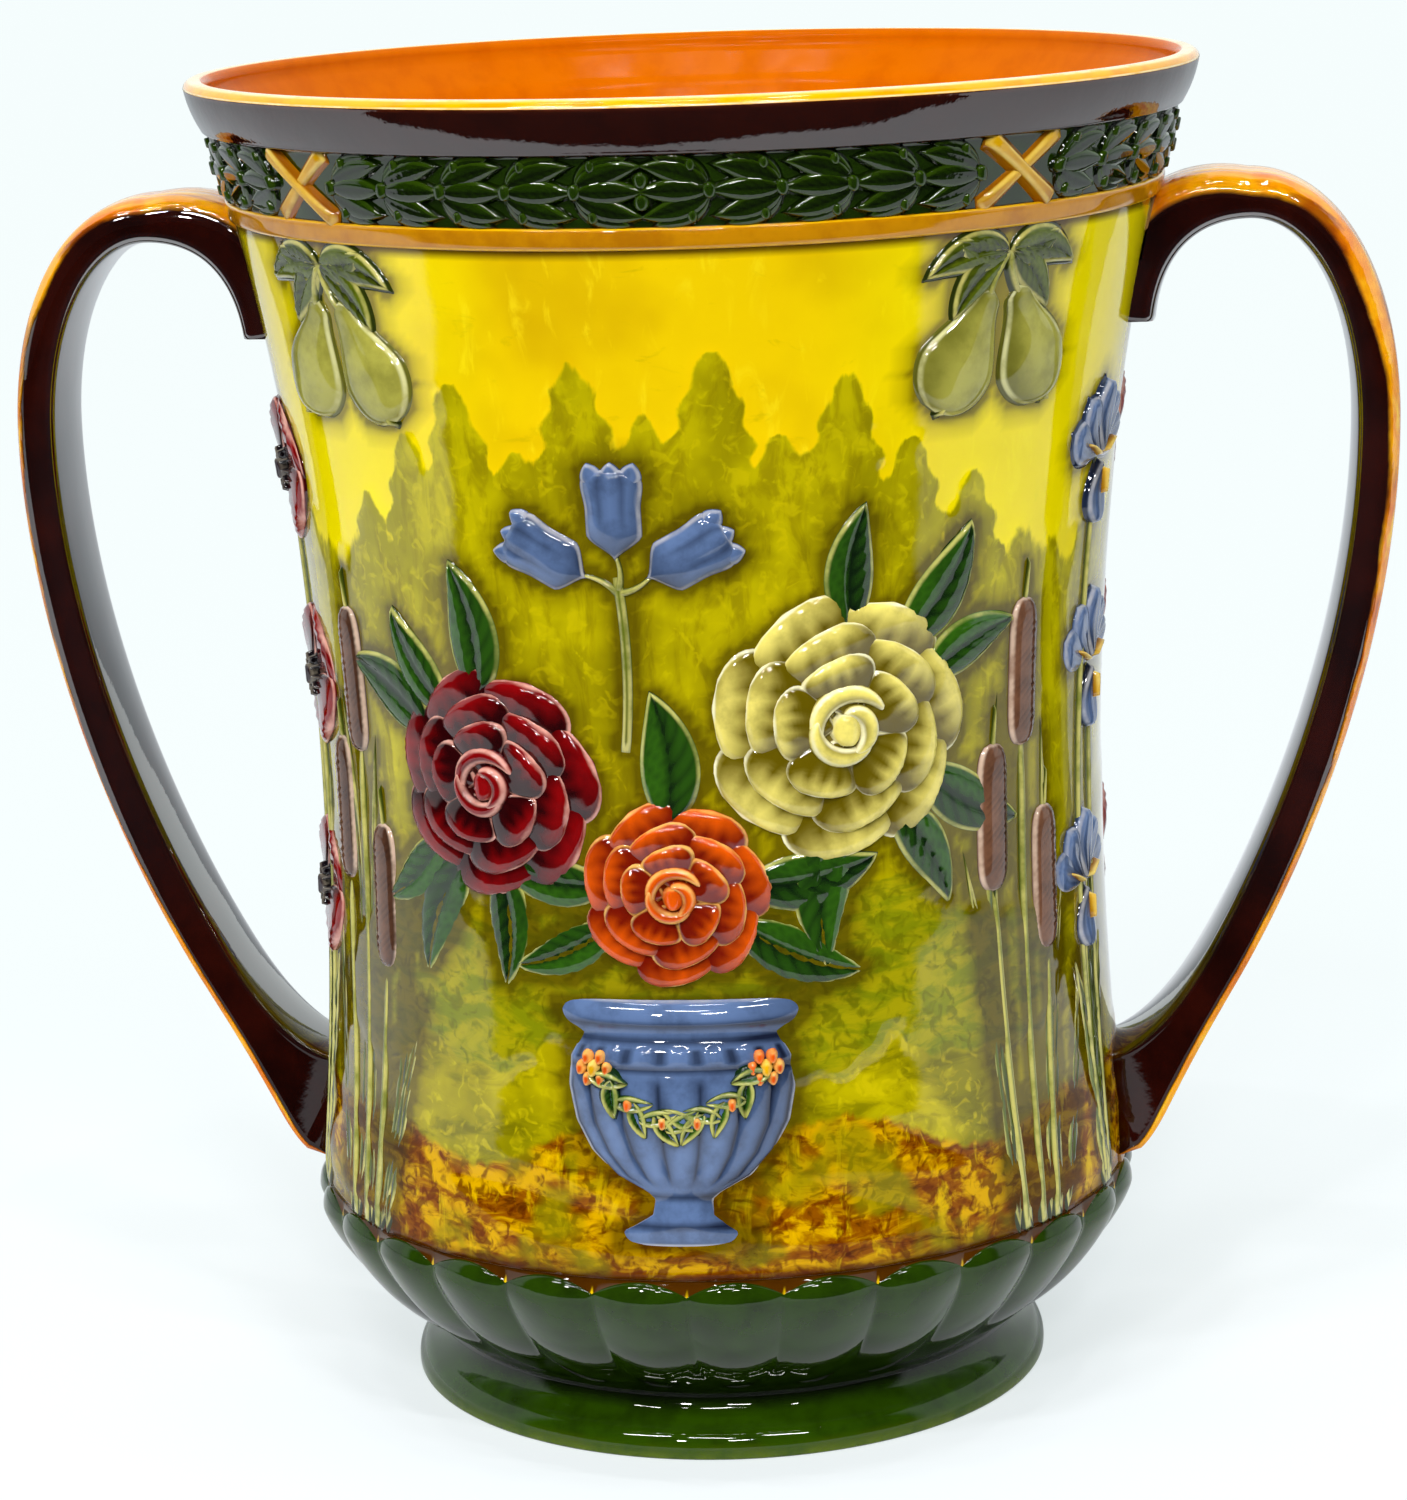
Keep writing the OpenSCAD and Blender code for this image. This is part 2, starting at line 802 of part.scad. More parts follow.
module bloom_sprig(angle, reach) {
    wall_sprig(angle, wall_z + sprig_gap, bloom_rise, 0, bloom_h + reach) {
        bloom_stems();
        for (i = [0:2])
            translate([bloom_steps[i], bloom_h * bloom_shares[i]]) children();
    }
}

module poppy_shape() {
    petal_r = poppy_petal_share * poppy_r;
    for (a = [45:90:315])
        rotate(a) translate([poppy_r - petal_r, 0]) circle(petal_r);
}

module iris_shape() {
    circle(iris_heart_share * iris_l);
    for (turn = iris_turns)
        rotate(turn) translate([0, -petal_tuck * iris_l])
        leaf_shape((1 + petal_tuck) * iris_l, iris_petal_share * iris_l);
}

module poppies(panel) {
    color("crimson") bloom_sprig(panel - bloom_angle, poppy_r) poppy_shape();
}

module irises(panel) {
    color("cornflowerblue") bloom_sprig(panel + bloom_angle, iris_l) iris_shape();
}

// Pears: two fruits that hang from a twig under each ribbon, with leaves over them
pear_turns = [-24, 24];
pear_hang_share = 2.6;
pear_neck_hang = 1.45;
pear_neck_share = 0.62;
pear_reach_share = 4;
pear_leaf_turn = 100;
pear_leaf_share = 0.42;

module pear_shape() {
    neck_drop = pear_neck_hang * pear_r;
    translate([0, -pear_hang_share * pear_r]) circle(pear_r);
    translate([0, -neck_drop]) circle(pear_neck_share * pear_r);
    translate([-stem_w / 2, -neck_drop]) square([stem_w, neck_drop]);
}

module pears(angle) {
    twig_z = cordon_z - pear_drop;
    color("olive")
    wall_sprig(angle, twig_z, bloom_rise, pear_reach_share * pear_r, pear_drop) {
        for (turn = pear_turns)
            rotate(turn) pear_shape();
        for (side = [-1, 1])
            rotate(pear_leaf_turn * side) leaf_shape(pear_leaf_l, pear_leaf_share * pear_leaf_l);
    }
}

foot();
foot_slip();
gadroon_bowl();
wall_slip();
wall();
cordon();
laurel_front();
laurel_right();
laurel_back();
laurel_left();
ribbon_front_right();
ribbon_back_right();
ribbon_back_left();
ribbon_front_left();
handle_right();
handle_left();
handle_right_upper_slip();
handle_right_lower_slip();
handle_left_upper_slip();
handle_left_lower_slip();
urn(FRONT);  // urn_front
orange_rose(FRONT);  // orange_rose_front
crimson_rose(FRONT);  // crimson_rose_front
cream_rose(FRONT);  // cream_rose_front
bellflowers(FRONT);  // bellflowers_front
rose_leaves(FRONT);  // rose_leaves_front
bulrushes(FRONT - bulrush_angle);  // bulrushes_front_left
bulrushes(FRONT + bulrush_angle);  // bulrushes_front_right
poppies(FRONT);  // poppies_front
irises(FRONT);  // irises_front
pears(FRONT - QUARTER);  // pears_front_left
pears(FRONT + QUARTER);  // pears_front_right
urn(BACK);  // urn_back
orange_rose(BACK);  // orange_rose_back
crimson_rose(BACK);  // crimson_rose_back
cream_rose(BACK);  // cream_rose_back
bellflowers(BACK);  // bellflowers_back
rose_leaves(BACK);  // rose_leaves_back
bulrushes(BACK - bulrush_angle);  // bulrushes_back_left
bulrushes(BACK + bulrush_angle);  // bulrushes_back_right
poppies(BACK);  // poppies_back
irises(BACK);  // irises_back
pears(BACK - QUARTER);  // pears_back_left
pears(BACK + QUARTER);  // pears_back_right
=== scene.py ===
# %% [markdown]
# A two-handled loving cup in glazed earthenware. A potter throws or casts the foot, the bowl and the
# tall wall, lutes them together with slip, presses leaves and blooms from moulds onto the wall, pulls two
# strap handles, paints everything in coloured glazes and fires it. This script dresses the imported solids
# in the same order. Every shape is a function of two parameters, worked out with numpy in millimetres.

import bpy
import numpy as np
from mathutils import Matrix, Vector


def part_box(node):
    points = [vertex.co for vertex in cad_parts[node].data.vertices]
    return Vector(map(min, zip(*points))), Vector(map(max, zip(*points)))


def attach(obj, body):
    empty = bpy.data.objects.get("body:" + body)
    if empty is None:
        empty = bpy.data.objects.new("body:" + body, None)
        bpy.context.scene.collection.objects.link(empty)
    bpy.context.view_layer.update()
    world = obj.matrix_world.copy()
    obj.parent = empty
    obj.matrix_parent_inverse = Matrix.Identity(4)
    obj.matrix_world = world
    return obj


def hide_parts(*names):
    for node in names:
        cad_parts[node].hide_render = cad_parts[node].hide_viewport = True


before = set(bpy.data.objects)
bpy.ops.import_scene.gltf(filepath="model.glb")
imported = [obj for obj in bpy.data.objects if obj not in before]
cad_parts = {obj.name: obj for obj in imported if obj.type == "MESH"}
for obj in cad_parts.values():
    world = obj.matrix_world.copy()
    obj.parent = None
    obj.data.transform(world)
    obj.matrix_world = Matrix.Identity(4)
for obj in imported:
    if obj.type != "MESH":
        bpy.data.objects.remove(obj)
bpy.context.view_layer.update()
MM = 0.001

# %% [markdown]
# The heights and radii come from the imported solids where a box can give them. The curves between them use
# the same powers as the solids, so that each glazed surface lies on the clay it stands for.

# %% Sizes in millimetres


def box_mm(name):
    """Lowest and highest corner of a CAD solid, in millimetres."""
    low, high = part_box(name)
    return np.array(low) / MM, np.array(high) / MM


FOOT_R, _, FOOT_H = box_mm("foot")[1]
BOWL_Z, BOWL_TOP_Z = (corner[2] for corner in box_mm("gadroon_bowl"))
WALL_Z, CUP_H = (corner[2] for corner in box_mm("wall"))
CORDON_Z, LAUREL_Z = (corner[2] for corner in box_mm("cordon"))
RIM_Z = box_mm("laurel_front")[1][2]
HANDLE_REACH = box_mm("handle_right")[1][0]
STRAP_W = 2 * box_mm("handle_right")[1][1]
RIM_R, WALL_T = 95.0, 5.0
WALL_BASE_R, WAIST_R, NECK_R, BAND_TOP_R = 79.0, 74.8, 86.8, 90.3
WAIST_Z, WALL_FLARE = WALL_Z + 71.0, 2.2


def wall_radius(z):
    """Picture wall: the square of the drop below the waist, a steeper power of the climb above it."""
    z = np.asarray(z, float)
    drop = np.clip((WAIST_Z - z) / (WAIST_Z - WALL_Z), 0, None)
    climb = np.clip((z - WAIST_Z) / (CORDON_Z - WAIST_Z), 0, None)
    return WAIST_R + (WALL_BASE_R - WAIST_R) * drop ** 2 + (NECK_R - WAIST_R) * climb ** WALL_FLARE


def band_radius(z):
    """Ground of the cordon and the laurel: a straight cone from the neck to the rim."""
    return NECK_R + (BAND_TOP_R - NECK_R) * (np.asarray(z, float) - CORDON_Z) / (RIM_Z - CORDON_Z)


print("cup height %.1f, reach %.1f, strap %.1f mm" % (CUP_H, HANDLE_REACH, STRAP_W))

# %% [markdown]
# The camera stands where the photographer stood: a little above the lip, a long lens, and a small tilt of
# the frame. The cup is turned about six degrees, so the right handle comes a little nearer.

# %% Camera
CAMERA_OUT, CAMERA_UP = 808.5 * MM, 306.5 * MM
CAMERA_TURN, CAMERA_ROLL = np.radians(5.8), np.radians(-1.888)
AIM_ASIDE, AIM_UP = -1.83 * MM, 122.07 * MM
LENS_MM, SENSOR_MM = 102.2, 36.0


def turned(x, y, z):
    """A point of the camera's own upright frame, turned about the cup's axis."""
    return Matrix.Rotation(CAMERA_TURN, 3, "Z") @ Vector((x, y, z))


camera_place = turned(0, -CAMERA_OUT, CAMERA_UP)
forward = (turned(AIM_ASIDE, 0, AIM_UP) - camera_place).normalized()
level_right = forward.cross(Vector((0, 0, 1))).normalized()
level_up = level_right.cross(forward)
right = level_right * float(np.cos(CAMERA_ROLL)) + level_up * float(np.sin(CAMERA_ROLL))
up = right.cross(forward)
camera = bpy.data.objects.new("camera", bpy.data.cameras.new("camera"))
camera.data.lens = LENS_MM
camera.data.sensor_width = SENSOR_MM
camera.matrix_world = Matrix.Translation(camera_place) @ Matrix((right, up, -forward)).transposed().to_4x4()
bpy.context.scene.collection.objects.link(camera)
bpy.context.scene.camera = camera
bpy.context.scene.view_settings.view_transform = "Standard"
print("camera at", [round(x, 3) for x in camera_place])

# %% [markdown]
# Materials and the studio are built from shader nodes. Short helpers keep the wiring readable: one adds a
# node and fills or links its inputs, and the others make the few nodes that come again and again.

# %% Node helpers


def srgb(red, green, blue):
    """A colour as it looks on a screen, 0 to 255, in the linear light that shaders use."""
    c = np.array([red, green, blue]) / 255
    return (*np.where(c <= 0.04045, c / 12.92, ((c + 0.055) / 1.055) ** 2.4), 1.0)


def add(tree, kind, inputs=None, **settings):
    """A new node; each input is linked if the value is a socket and set otherwise."""
    made = tree.nodes.new(kind)
    for key, value in settings.items():
        setattr(made, key, value)
    for key, value in (inputs or {}).items():
        if isinstance(value, bpy.types.NodeSocket):
            tree.links.new(value, made.inputs[key])
        else:
            made.inputs[key].default_value = value
    return made


def mixed(tree, factor, first, second):
    """Colour socket that goes from first to second as factor goes from 0 to 1."""
    return add(tree, "ShaderNodeMix", {0: factor, 6: first, 7: second}, data_type="RGBA").outputs[2]


def soft_step(tree, value, low, high, start=0.0, end=1.0):
    """Value socket that climbs smoothly from start to end while the input goes from low to high."""
    inputs = {"Value": value, "From Min": low, "From Max": high, "To Min": start, "To Max": end}
    return add(tree, "ShaderNodeMapRange", inputs, interpolation_type="SMOOTHSTEP").outputs[0]


def maths(tree, operation, first, second=0.0):
    """One sum, product or other step of arithmetic as a value socket."""
    return add(tree, "ShaderNodeMath", {0: first, 1: second}, operation=operation).outputs[0]


def times(tree, first, *others):
    """The product of several values."""
    for other in others:
        first = maths(tree, "MULTIPLY", first, other)
    return first


def noise(tree, vector, scale, detail=2.0, roughness=0.5, distortion=0.0):
    """Cloudy noise about one metre divided by scale across."""
    inputs = {"Vector": vector, "Scale": scale, "Detail": detail, "Roughness": roughness}
    return add(tree, "ShaderNodeTexNoise", {**inputs, "Distortion": distortion}).outputs[0]


def mark(tree, name):
    """A number that the mesh carries on its points."""
    return add(tree, "ShaderNodeAttribute", attribute_name=name).outputs["Fac"]


def new_material(name):
    """An empty node material and its Object coordinates."""
    material = bpy.data.materials.new(name)
    material.use_nodes = True
    material.node_tree.nodes.clear()
    return material, add(material.node_tree, "ShaderNodeTexCoord").outputs["Object"]


print("node helpers ready")

# %% [markdown]
# The studio is a white sheet under and behind the cup, white screens left and right, and a darker room in
# front with tubes and a small spot, which is what makes the crisp glints in the glaze. A curved sheet could
# be modelled, but a large floor and a world that changes with direction do the same with less.

# %% Studio floor, room and lamps
SHEET_FRONT_Y, SHEET_FADE = -0.235, 0.02
ROOM_WHITE, ROOM_DARK = (0.93, 1.0, 1.0, 1.0), (0.022, 0.020, 0.024, 1.0)
PAPER_WHITE = (0.87, 0.89, 0.93, 1.0)
SCREEN_SHARE, ROOM_OPENS = 0.55, (0.18, 0.34)
FLOOR_HALF, FLOOR_LIFT = 9.0, (0.10, 0.42, 0.62, 0.97)
LAMP_AIM = Vector((0, 0, 0.12))
LAMPS = {
    "tube_left": ((-0.70, -1.15, 1.30), (0.42, 0.035), 30, 8.5),
    "tube_middle": ((-0.10, -1.45, 1.40), (0.50, 0.040), -12, 8.5),
    "tube_right": ((0.62, -1.20, 1.35), (0.42, 0.035), -35, 8.5),
    "tube_low": ((0.20, -1.35, 0.85), (0.22, 0.030), 8, 4.0),
    "spot_low": ((-0.28, -1.10, 0.62), (0.07, 0.07), 0, 3.0),
    "ceiling_left": ((-0.40, -0.35, 1.65), (0.24, 0.025), 25, 2.6),
    "ceiling_middle": ((0.00, -0.45, 1.65), (0.26, 0.025), -8, 2.6),
    "ceiling_right": ((0.38, -0.32, 1.65), (0.24, 0.025), 20, 2.6),
}

world = bpy.data.worlds.new("studio_room")
bpy.context.scene.world = world
world.use_nodes = True
room = world.node_tree
room.nodes.clear()
outlook = add(room, "ShaderNodeTexCoord").outputs["Generated"]
direction = add(room, "ShaderNodeSeparateXYZ", {0: outlook}).outputs
sideways = times(room, maths(room, "ABSOLUTE", direction["X"]), SCREEN_SHARE)
white_part = soft_step(room, maths(room, "ADD", direction["Y"], sideways), *ROOM_OPENS)
view_ray = add(room, "ShaderNodeLightPath").outputs["Is Camera Ray"]
seen = mixed(room, maths(room, "MAXIMUM", white_part, view_ray), ROOM_DARK, ROOM_WHITE)
background = add(room, "ShaderNodeBackground", {"Color": seen, "Strength": 1.0})
room.links.new(background.outputs[0], add(room, "ShaderNodeOutputWorld").inputs["Surface"])

floor_mesh = bpy.data.meshes.new("studio_floor")
corners = [(x * FLOOR_HALF, y * FLOOR_HALF, 0) for x, y in ((-1, -1), (1, -1), (1, 1), (-1, 1))]
floor_mesh.from_pydata(corners, [], [(0, 1, 2, 3)])
floor = bpy.data.objects.new("studio_floor", floor_mesh)
bpy.context.scene.collection.objects.link(floor)
sheet, floor_place = new_material("studio_sheet")
cloth = sheet.node_tree
depth = add(cloth, "ShaderNodeSeparateXYZ", {0: floor_place}).outputs["Y"]
on_sheet = soft_step(cloth, depth, SHEET_FRONT_Y - SHEET_FADE, SHEET_FRONT_Y)
camera_ray = add(cloth, "ShaderNodeLightPath").outputs["Is Camera Ray"]
pale = mixed(cloth, maths(cloth, "MAXIMUM", on_sheet, camera_ray), ROOM_DARK, PAPER_WHITE)
paper = add(cloth, "ShaderNodeBsdfDiffuse", {"Color": pale})
glow = add(cloth, "ShaderNodeEmission", {"Color": ROOM_WHITE, "Strength": 1.0})
out_from_cup = add(cloth, "ShaderNodeVectorMath", {0: floor_place}, operation="LENGTH").outputs["Value"]
lift = times(cloth, camera_ray, soft_step(cloth, out_from_cup, *FLOOR_LIFT))
lifted = add(cloth, "ShaderNodeMixShader", {0: lift, 1: paper.outputs[0], 2: glow.outputs[0]})
cloth.links.new(lifted.outputs[0], add(cloth, "ShaderNodeOutputMaterial").inputs["Surface"])
floor_mesh.materials.append(sheet)

for name, (spot, (length, width), tilt, power) in LAMPS.items():
    lamp = bpy.data.objects.new(name, bpy.data.lights.new(name, "AREA"))
    lamp.data.shape = "RECTANGLE" if length > width else "DISK"
    lamp.data.size = length
    lamp.data.size_y = width
    lamp.data.energy = power
    aim = (LAMP_AIM - Vector(spot)).to_track_quat("-Z", "Y").to_matrix().to_4x4()
    lamp.matrix_world = Matrix.Translation(spot) @ aim @ Matrix.Rotation(np.radians(tilt), 4, "Z")
    bpy.context.scene.collection.objects.link(lamp)
print("studio:", len(LAMPS), "lamps")

# %% [markdown]
# Fired glaze has two effects that every colour shares. Its skin is almost a mirror, with a faint ripple and
# small changes of gloss. And it runs: it breaks pale and thin over raised edges and pools dark against them.
# Each is a node group, built once, so that all the glazes behave as one firing. The second group also
# darkens each glaze towards its pool colour where the mesh marks it, mostly as painted shade.

# %% Shared glaze effects
NUMBER, COLOUR, VECTOR = "NodeSocketFloat", "NodeSocketColor", "NodeSocketVector"
RIPPLE_SCALE, PIT_SCALE, SMEAR_SCALE, RUN_SCALE = 55.0, 620.0, 120.0, 150.0
PIT_SHARE = 0.06


def new_group(name, inputs, outputs):
    """An empty node group with named sockets: its tree, what it is given, and what it gives out."""
    tree = bpy.data.node_groups.new(name, "ShaderNodeTree")
    for kind, sockets in (("INPUT", inputs), ("OUTPUT", outputs)):
        for label, socket_type in sockets.items():
            tree.interface.new_socket(label, in_out=kind, socket_type=socket_type)
    return tree, tree.nodes.new("NodeGroupInput").outputs, tree.nodes.new("NodeGroupOutput").inputs


skin, given, gives = new_group("glaze_skin", {"Vector": VECTOR, "Gloss": NUMBER},
                               {"Roughness": NUMBER, "Height": NUMBER})
ripple = noise(skin, given["Vector"], RIPPLE_SCALE, 1.0)
pits = times(skin, noise(skin, given["Vector"], PIT_SCALE, 2.0), PIT_SHARE)
smears = soft_step(skin, noise(skin, given["Vector"], SMEAR_SCALE, 4.0), 0.35, 0.75, 0.8, 1.7)
skin.links.new(times(skin, given["Gloss"], smears), gives["Roughness"])
skin.links.new(maths(skin, "ADD", ripple, pits), gives["Height"])

runs, given, gives = new_group(
    "glaze_break_and_shade", {"Vector": VECTOR, "Body": COLOUR, "Pool": COLOUR, "Break": COLOUR,
                    "Rim": NUMBER, "Tone": NUMBER, "Amount": NUMBER}, {"Color": COLOUR})
cloud = noise(runs, given["Vector"], RUN_SCALE, 4.0, 0.6)
on_edge = times(runs, soft_step(runs, given["Rim"], 0.35, 0.7), soft_step(runs, given["Rim"], 0.97, 0.8))
thin = times(runs, on_edge, soft_step(runs, cloud, 0.3, 0.62, 0.25, 1.0), given["Amount"])
washed = mixed(runs, soft_step(runs, cloud, 0.38, 0.72, 0.0, 0.45), given["Body"], given["Pool"])
# Darkened towards the pool colour by the mesh's mark, mostly painted shade.
toned_and_shaded = mixed(runs, given["Tone"], washed, given["Pool"])
broken = mixed(runs, thin, toned_and_shaded, given["Break"])
beside = soft_step(runs, given["Rim"], 0.86, 1.0, 0.0, 0.85)
runs.links.new(mixed(runs, beside, broken, given["Pool"]), gives["Color"])
print("groups:", [g.name for g in bpy.data.node_groups])

# %% [markdown]
# A glaze is then a short recipe: the colour of its body, where it pools and where it breaks, how strongly it
# breaks, and its gloss. The mesh says through two marks how near a point is to a raised edge and how dark it
# is painted there: mostly painted shade in hollows, in folds and down one side, partly dark lines and joints.

# %% Glaze recipes
GLAZE_IOR, LEAD_IOR, WASH_IOR, PAINT_IOR = 1.52, 1.72, 1.09, 1.40
RIPPLE_DEPTH = 0.00016
made_before = len(bpy.data.materials)


def fired(material, colour, vector, gloss, ripple=RIPPLE_DEPTH, ridges=None, ior=GLAZE_IOR, coat=0.0,
          coat_ior=LEAD_IOR):
    """Finishes a material: colour under a clear skin, with ridges and a second coat where they are given."""
    tree = material.node_tree
    skinned = add(tree, "ShaderNodeGroup", {"Vector": vector, "Gloss": gloss}, node_tree=skin).outputs
    height = skinned["Height"] if ridges is None else maths(tree, "ADD", skinned["Height"], ridges)
    bump = add(tree, "ShaderNodeBump", {"Height": height, "Distance": ripple, "Strength": 1.0}).outputs[0]
    surface = add(tree, "ShaderNodeBsdfPrincipled", {
        "Base Color": colour, "Roughness": skinned["Roughness"], "Normal": bump, "IOR": ior,
        "Coat Weight": coat, "Coat IOR": coat_ior, "Coat Roughness": gloss, "Coat Normal": bump})
    tree.links.new(surface.outputs[0], add(tree, "ShaderNodeOutputMaterial").inputs["Surface"])
    return material


def glaze(name, body, pool, thin, amount=0.7, gloss=0.05, ripple=RIPPLE_DEPTH, ior=GLAZE_IOR):
    """A coloured glaze that breaks over edges and pools beside them."""
    material, vector = new_material(name)
    tree = material.node_tree
    flow = add(tree, "ShaderNodeGroup", {
        "Vector": vector, "Rim": mark(tree, "rim"), "Tone": mark(tree, "tone"), "Amount": amount,
        "Body": srgb(*body), "Pool": srgb(*pool), "Break": srgb(*thin)}, node_tree=runs)
    return fired(material, flow.outputs["Color"], vector, gloss, ripple, ior=ior)


# The grey break colour of the green glaze is a painted reflection, laid mainly along the bowl's creases.
GREEN = glaze("green_glaze", (32, 56, 2), (5, 9, 2), (120, 130, 96), 0.6, 0.03, 0.00022, PAINT_IOR)
FOOT_GREEN = glaze("foot_glaze", (38, 66, 1), (6, 10, 2), (96, 116, 2), 0.7, 0.03, 0.0002, PAINT_IOR)
LAUREL = glaze("laurel_glaze", (27, 49, 0), (6, 14, 1), (62, 90, 10), 0.4, 0.035, 0.0004)
RIBBON = glaze("ribbon_glaze", (216, 164, 6), (150, 80, 2), (252, 222, 110))
TAN = glaze("tan_glaze", (202, 136, 2), (150, 78, 0), (252, 196, 10), 0.9)
RIM_BROWN = glaze("rim_glaze", (40, 8, 2), (16, 3, 1), (110, 40, 4), 0.4, 0.03, 0.0005, LEAD_IOR)
LINING = glaze("lining_glaze", (240, 134, 0), (182, 82, 0), (252, 178, 10), 0.6, 0.16, ior=WASH_IOR)
LIP = glaze("lip_glaze", (246, 176, 2), (214, 112, 0), (255, 240, 176), 0.95)
EARTH = glaze("seam_glaze", (72, 38, 0), (40, 16, 0), (232, 190, 8), 0.95, ior=PAINT_IOR)
CRIMSON = glaze("crimson_glaze", (138, 5, 8), (38, 1, 3), (240, 178, 160), 0.85)
ORANGE = glaze("orange_glaze", (226, 88, 4), (112, 18, 2), (252, 200, 104), 0.8)
CREAM = glaze("cream_glaze", (248, 232, 118), (96, 82, 2), (255, 250, 206), 0.9)
BLUE_GREY = glaze("blue_grey_glaze", (92, 116, 158), (20, 28, 48), (206, 204, 206), 0.6)
LEAF = glaze("leaf_glaze", (46, 92, 14), (8, 26, 8), (208, 204, 112), 0.75)
RUSH = glaze("rush_glaze", (116, 78, 56), (34, 16, 10), (226, 196, 172), 0.8)
STEM = glaze("stem_glaze", (92, 106, 14), (28, 36, 6), (220, 210, 120), 0.75)
OLIVE = glaze("olive_glaze", (172, 168, 72), (84, 84, 18), (232, 230, 168), 0.8)
HEART = glaze("heart_glaze", (232, 174, 8), (120, 56, 2), (255, 232, 130))
POD = glaze("pod_glaze", (40, 26, 34), (10, 8, 12), (150, 140, 120), 0.6)
SLIP = glaze("slip_clay", (150, 110, 60), (90, 60, 30), (200, 170, 120), 0.5, 0.4)
print("glazes:", len(bpy.data.materials) - made_before)

# %% [markdown]
# Every piece is a grid of points with quads between them. One helper makes the quads of a grid whose rows are
# rings, one closes an end with a fan, and one puts points, faces, marks and glazes into an object that stands
# for a solid.

# %% Grids and pieces
ROUND = np.linspace(0, 2 * np.pi, 384, endpoint=False)
pieces_made = {}


def grid_faces(rows, columns, close_rows=False):
    """Quads of a grid of closed rows, numbered row by row; along a row, then up, turns the face outwards."""
    i, j = np.meshgrid(np.arange(rows if close_rows else rows - 1), np.arange(columns), indexing="ij")
    here, above = i * columns, (i + 1) % rows * columns
    along = (j + 1) % columns
    return np.stack([here + j, here + along, above + along, above + j], -1).reshape(-1, 4)


def fan(centre, start, count, backwards=False):
    """Triangles from a centre to a ring of points that are numbered from start."""
    ring = np.arange(count)
    after = (ring + 1) % count
    pair = (after, ring) if backwards else (ring, after)
    return np.stack([np.full(count, centre), start + pair[0], start + pair[1]], -1)


def make_piece(name, solid, slot, points, faces, glazes, face_glaze=None, **marks):
    """An object in place of a CAD solid, from millimetre points and lists of faces."""
    mesh = bpy.data.meshes.new(name)
    mesh.from_pydata((points * MM).tolist(), [], [f for block in faces for f in block.tolist()])
    for label, values in {"rim": 0.0, "tone": 0.0, **marks}.items():
        layer = mesh.attributes.new(label, "FLOAT", "POINT")
        layer.data.foreach_set("value", np.broadcast_to(values, len(points)).astype(np.float32))
    for material in glazes:
        mesh.materials.append(material)
    if face_glaze is not None:
        mesh.polygons.foreach_set("material_index", np.asarray(face_glaze, np.int32))
    mesh.polygons.foreach_set("use_smooth", np.ones(len(mesh.polygons), bool))
    mesh.update()
    piece = bpy.data.objects.new(name, mesh)
    bpy.context.scene.collection.objects.link(piece)
    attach(piece, "root")
    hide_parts(solid)
    pieces_made[name] = piece
    return piece


def around(profile, angles):
    """Points of a turned form: each (radius, height) of the profile carried round the axis."""
    r, z = (a if a.ndim == 2 else a[:, None] + 0 * angles for a in (profile[..., 0], profile[..., 1]))
    return np.stack([r * np.cos(angles), r * np.sin(angles), z], -1).reshape(-1, 3)


def turned_piece(name, solid, slot, profile, glazes, ring_glaze=None, **marks):
    """A closed profile turned round the axis, with a glaze for each ring and marks for each ring or point."""
    columns = len(ROUND)
    marks = {label: np.repeat(v, columns) if np.ndim(v) == 1 else np.ravel(v) for label, v in marks.items()}
    face_glaze = None if ring_glaze is None else np.repeat(ring_glaze, columns)
    quads = grid_faces(len(profile), columns, close_rows=True)
    return make_piece(name, solid, slot, around(profile, ROUND), [quads], glazes, face_glaze, **marks)


def smooth(value, low, high):
    """A soft step from 0 to 1."""
    f = np.clip((value - low) / (high - low), 0, 1)
    return f * f * (3 - 2 * f)


def rounded(x, power=2):
    """One in the middle and nothing at 1 either way: an ellipse, or squarer as the power grows."""
    return np.sqrt(np.clip(1 - np.abs(x) ** power, 0, 1))


def arc(centre, radius, start, end, steps=7):
    """An arc of a circle, from one angle in degrees to another."""
    a = np.radians(np.linspace(start, end, steps))
    return np.stack([centre[0] + radius * np.cos(a), centre[1] + radius * np.sin(a)], -1)


print("round forms use", len(ROUND), "columns")

# %% [markdown]
# The foot is turned on the wheel: a low edge that rounds over, then a sweep that hollows and rises again to
# the neck, under the bowl. A profile carried round the axis is the natural way to make anything turned.
# The lower edge is painted paler, a glaze break that also stands in for light thrown up from the floor, and
# painted shade darkens the sweep as it rises under the bowl.

# %% Foot
FOOT_NECK_R, FOOT_BORE_R, FOOT_FLAT, FOOT_SOFT = 54.5, 46.0, 6.0, 0.8
FOOT_ROUND, FOOT_ROUND_TURN, FOOT_ROUND_Z = 4.8, 60, 1.6
NECK_TOP_R, NECK_TOP_Z, SWEEP_PULL, NECK_PULL = 56.2, 11.4, 9.0, 7.0
# Paler lower edge: glaze break and painted light from the floor. Darker towards the neck: painted shade under
# the bowl.
FOOT_EDGE_Z, FOOT_EDGE_BREAK_AND_LIGHT, FOOT_SHADE_Z = (0, 0.9, 2.2, 4.6), (0.9, 0.6, 0.5, 0.3), (7.2, 10.6)


def pulled_curve(start, leave, end, arrive, t):
    """A cubic from start to end that leaves along one pull and arrives along another."""
    return ((1 + 2 * t) * (1 - t) ** 2 * start + t * (1 - t) ** 2 * leave
            + t ** 2 * (3 - 2 * t) * end - t ** 2 * (1 - t) * arrive)


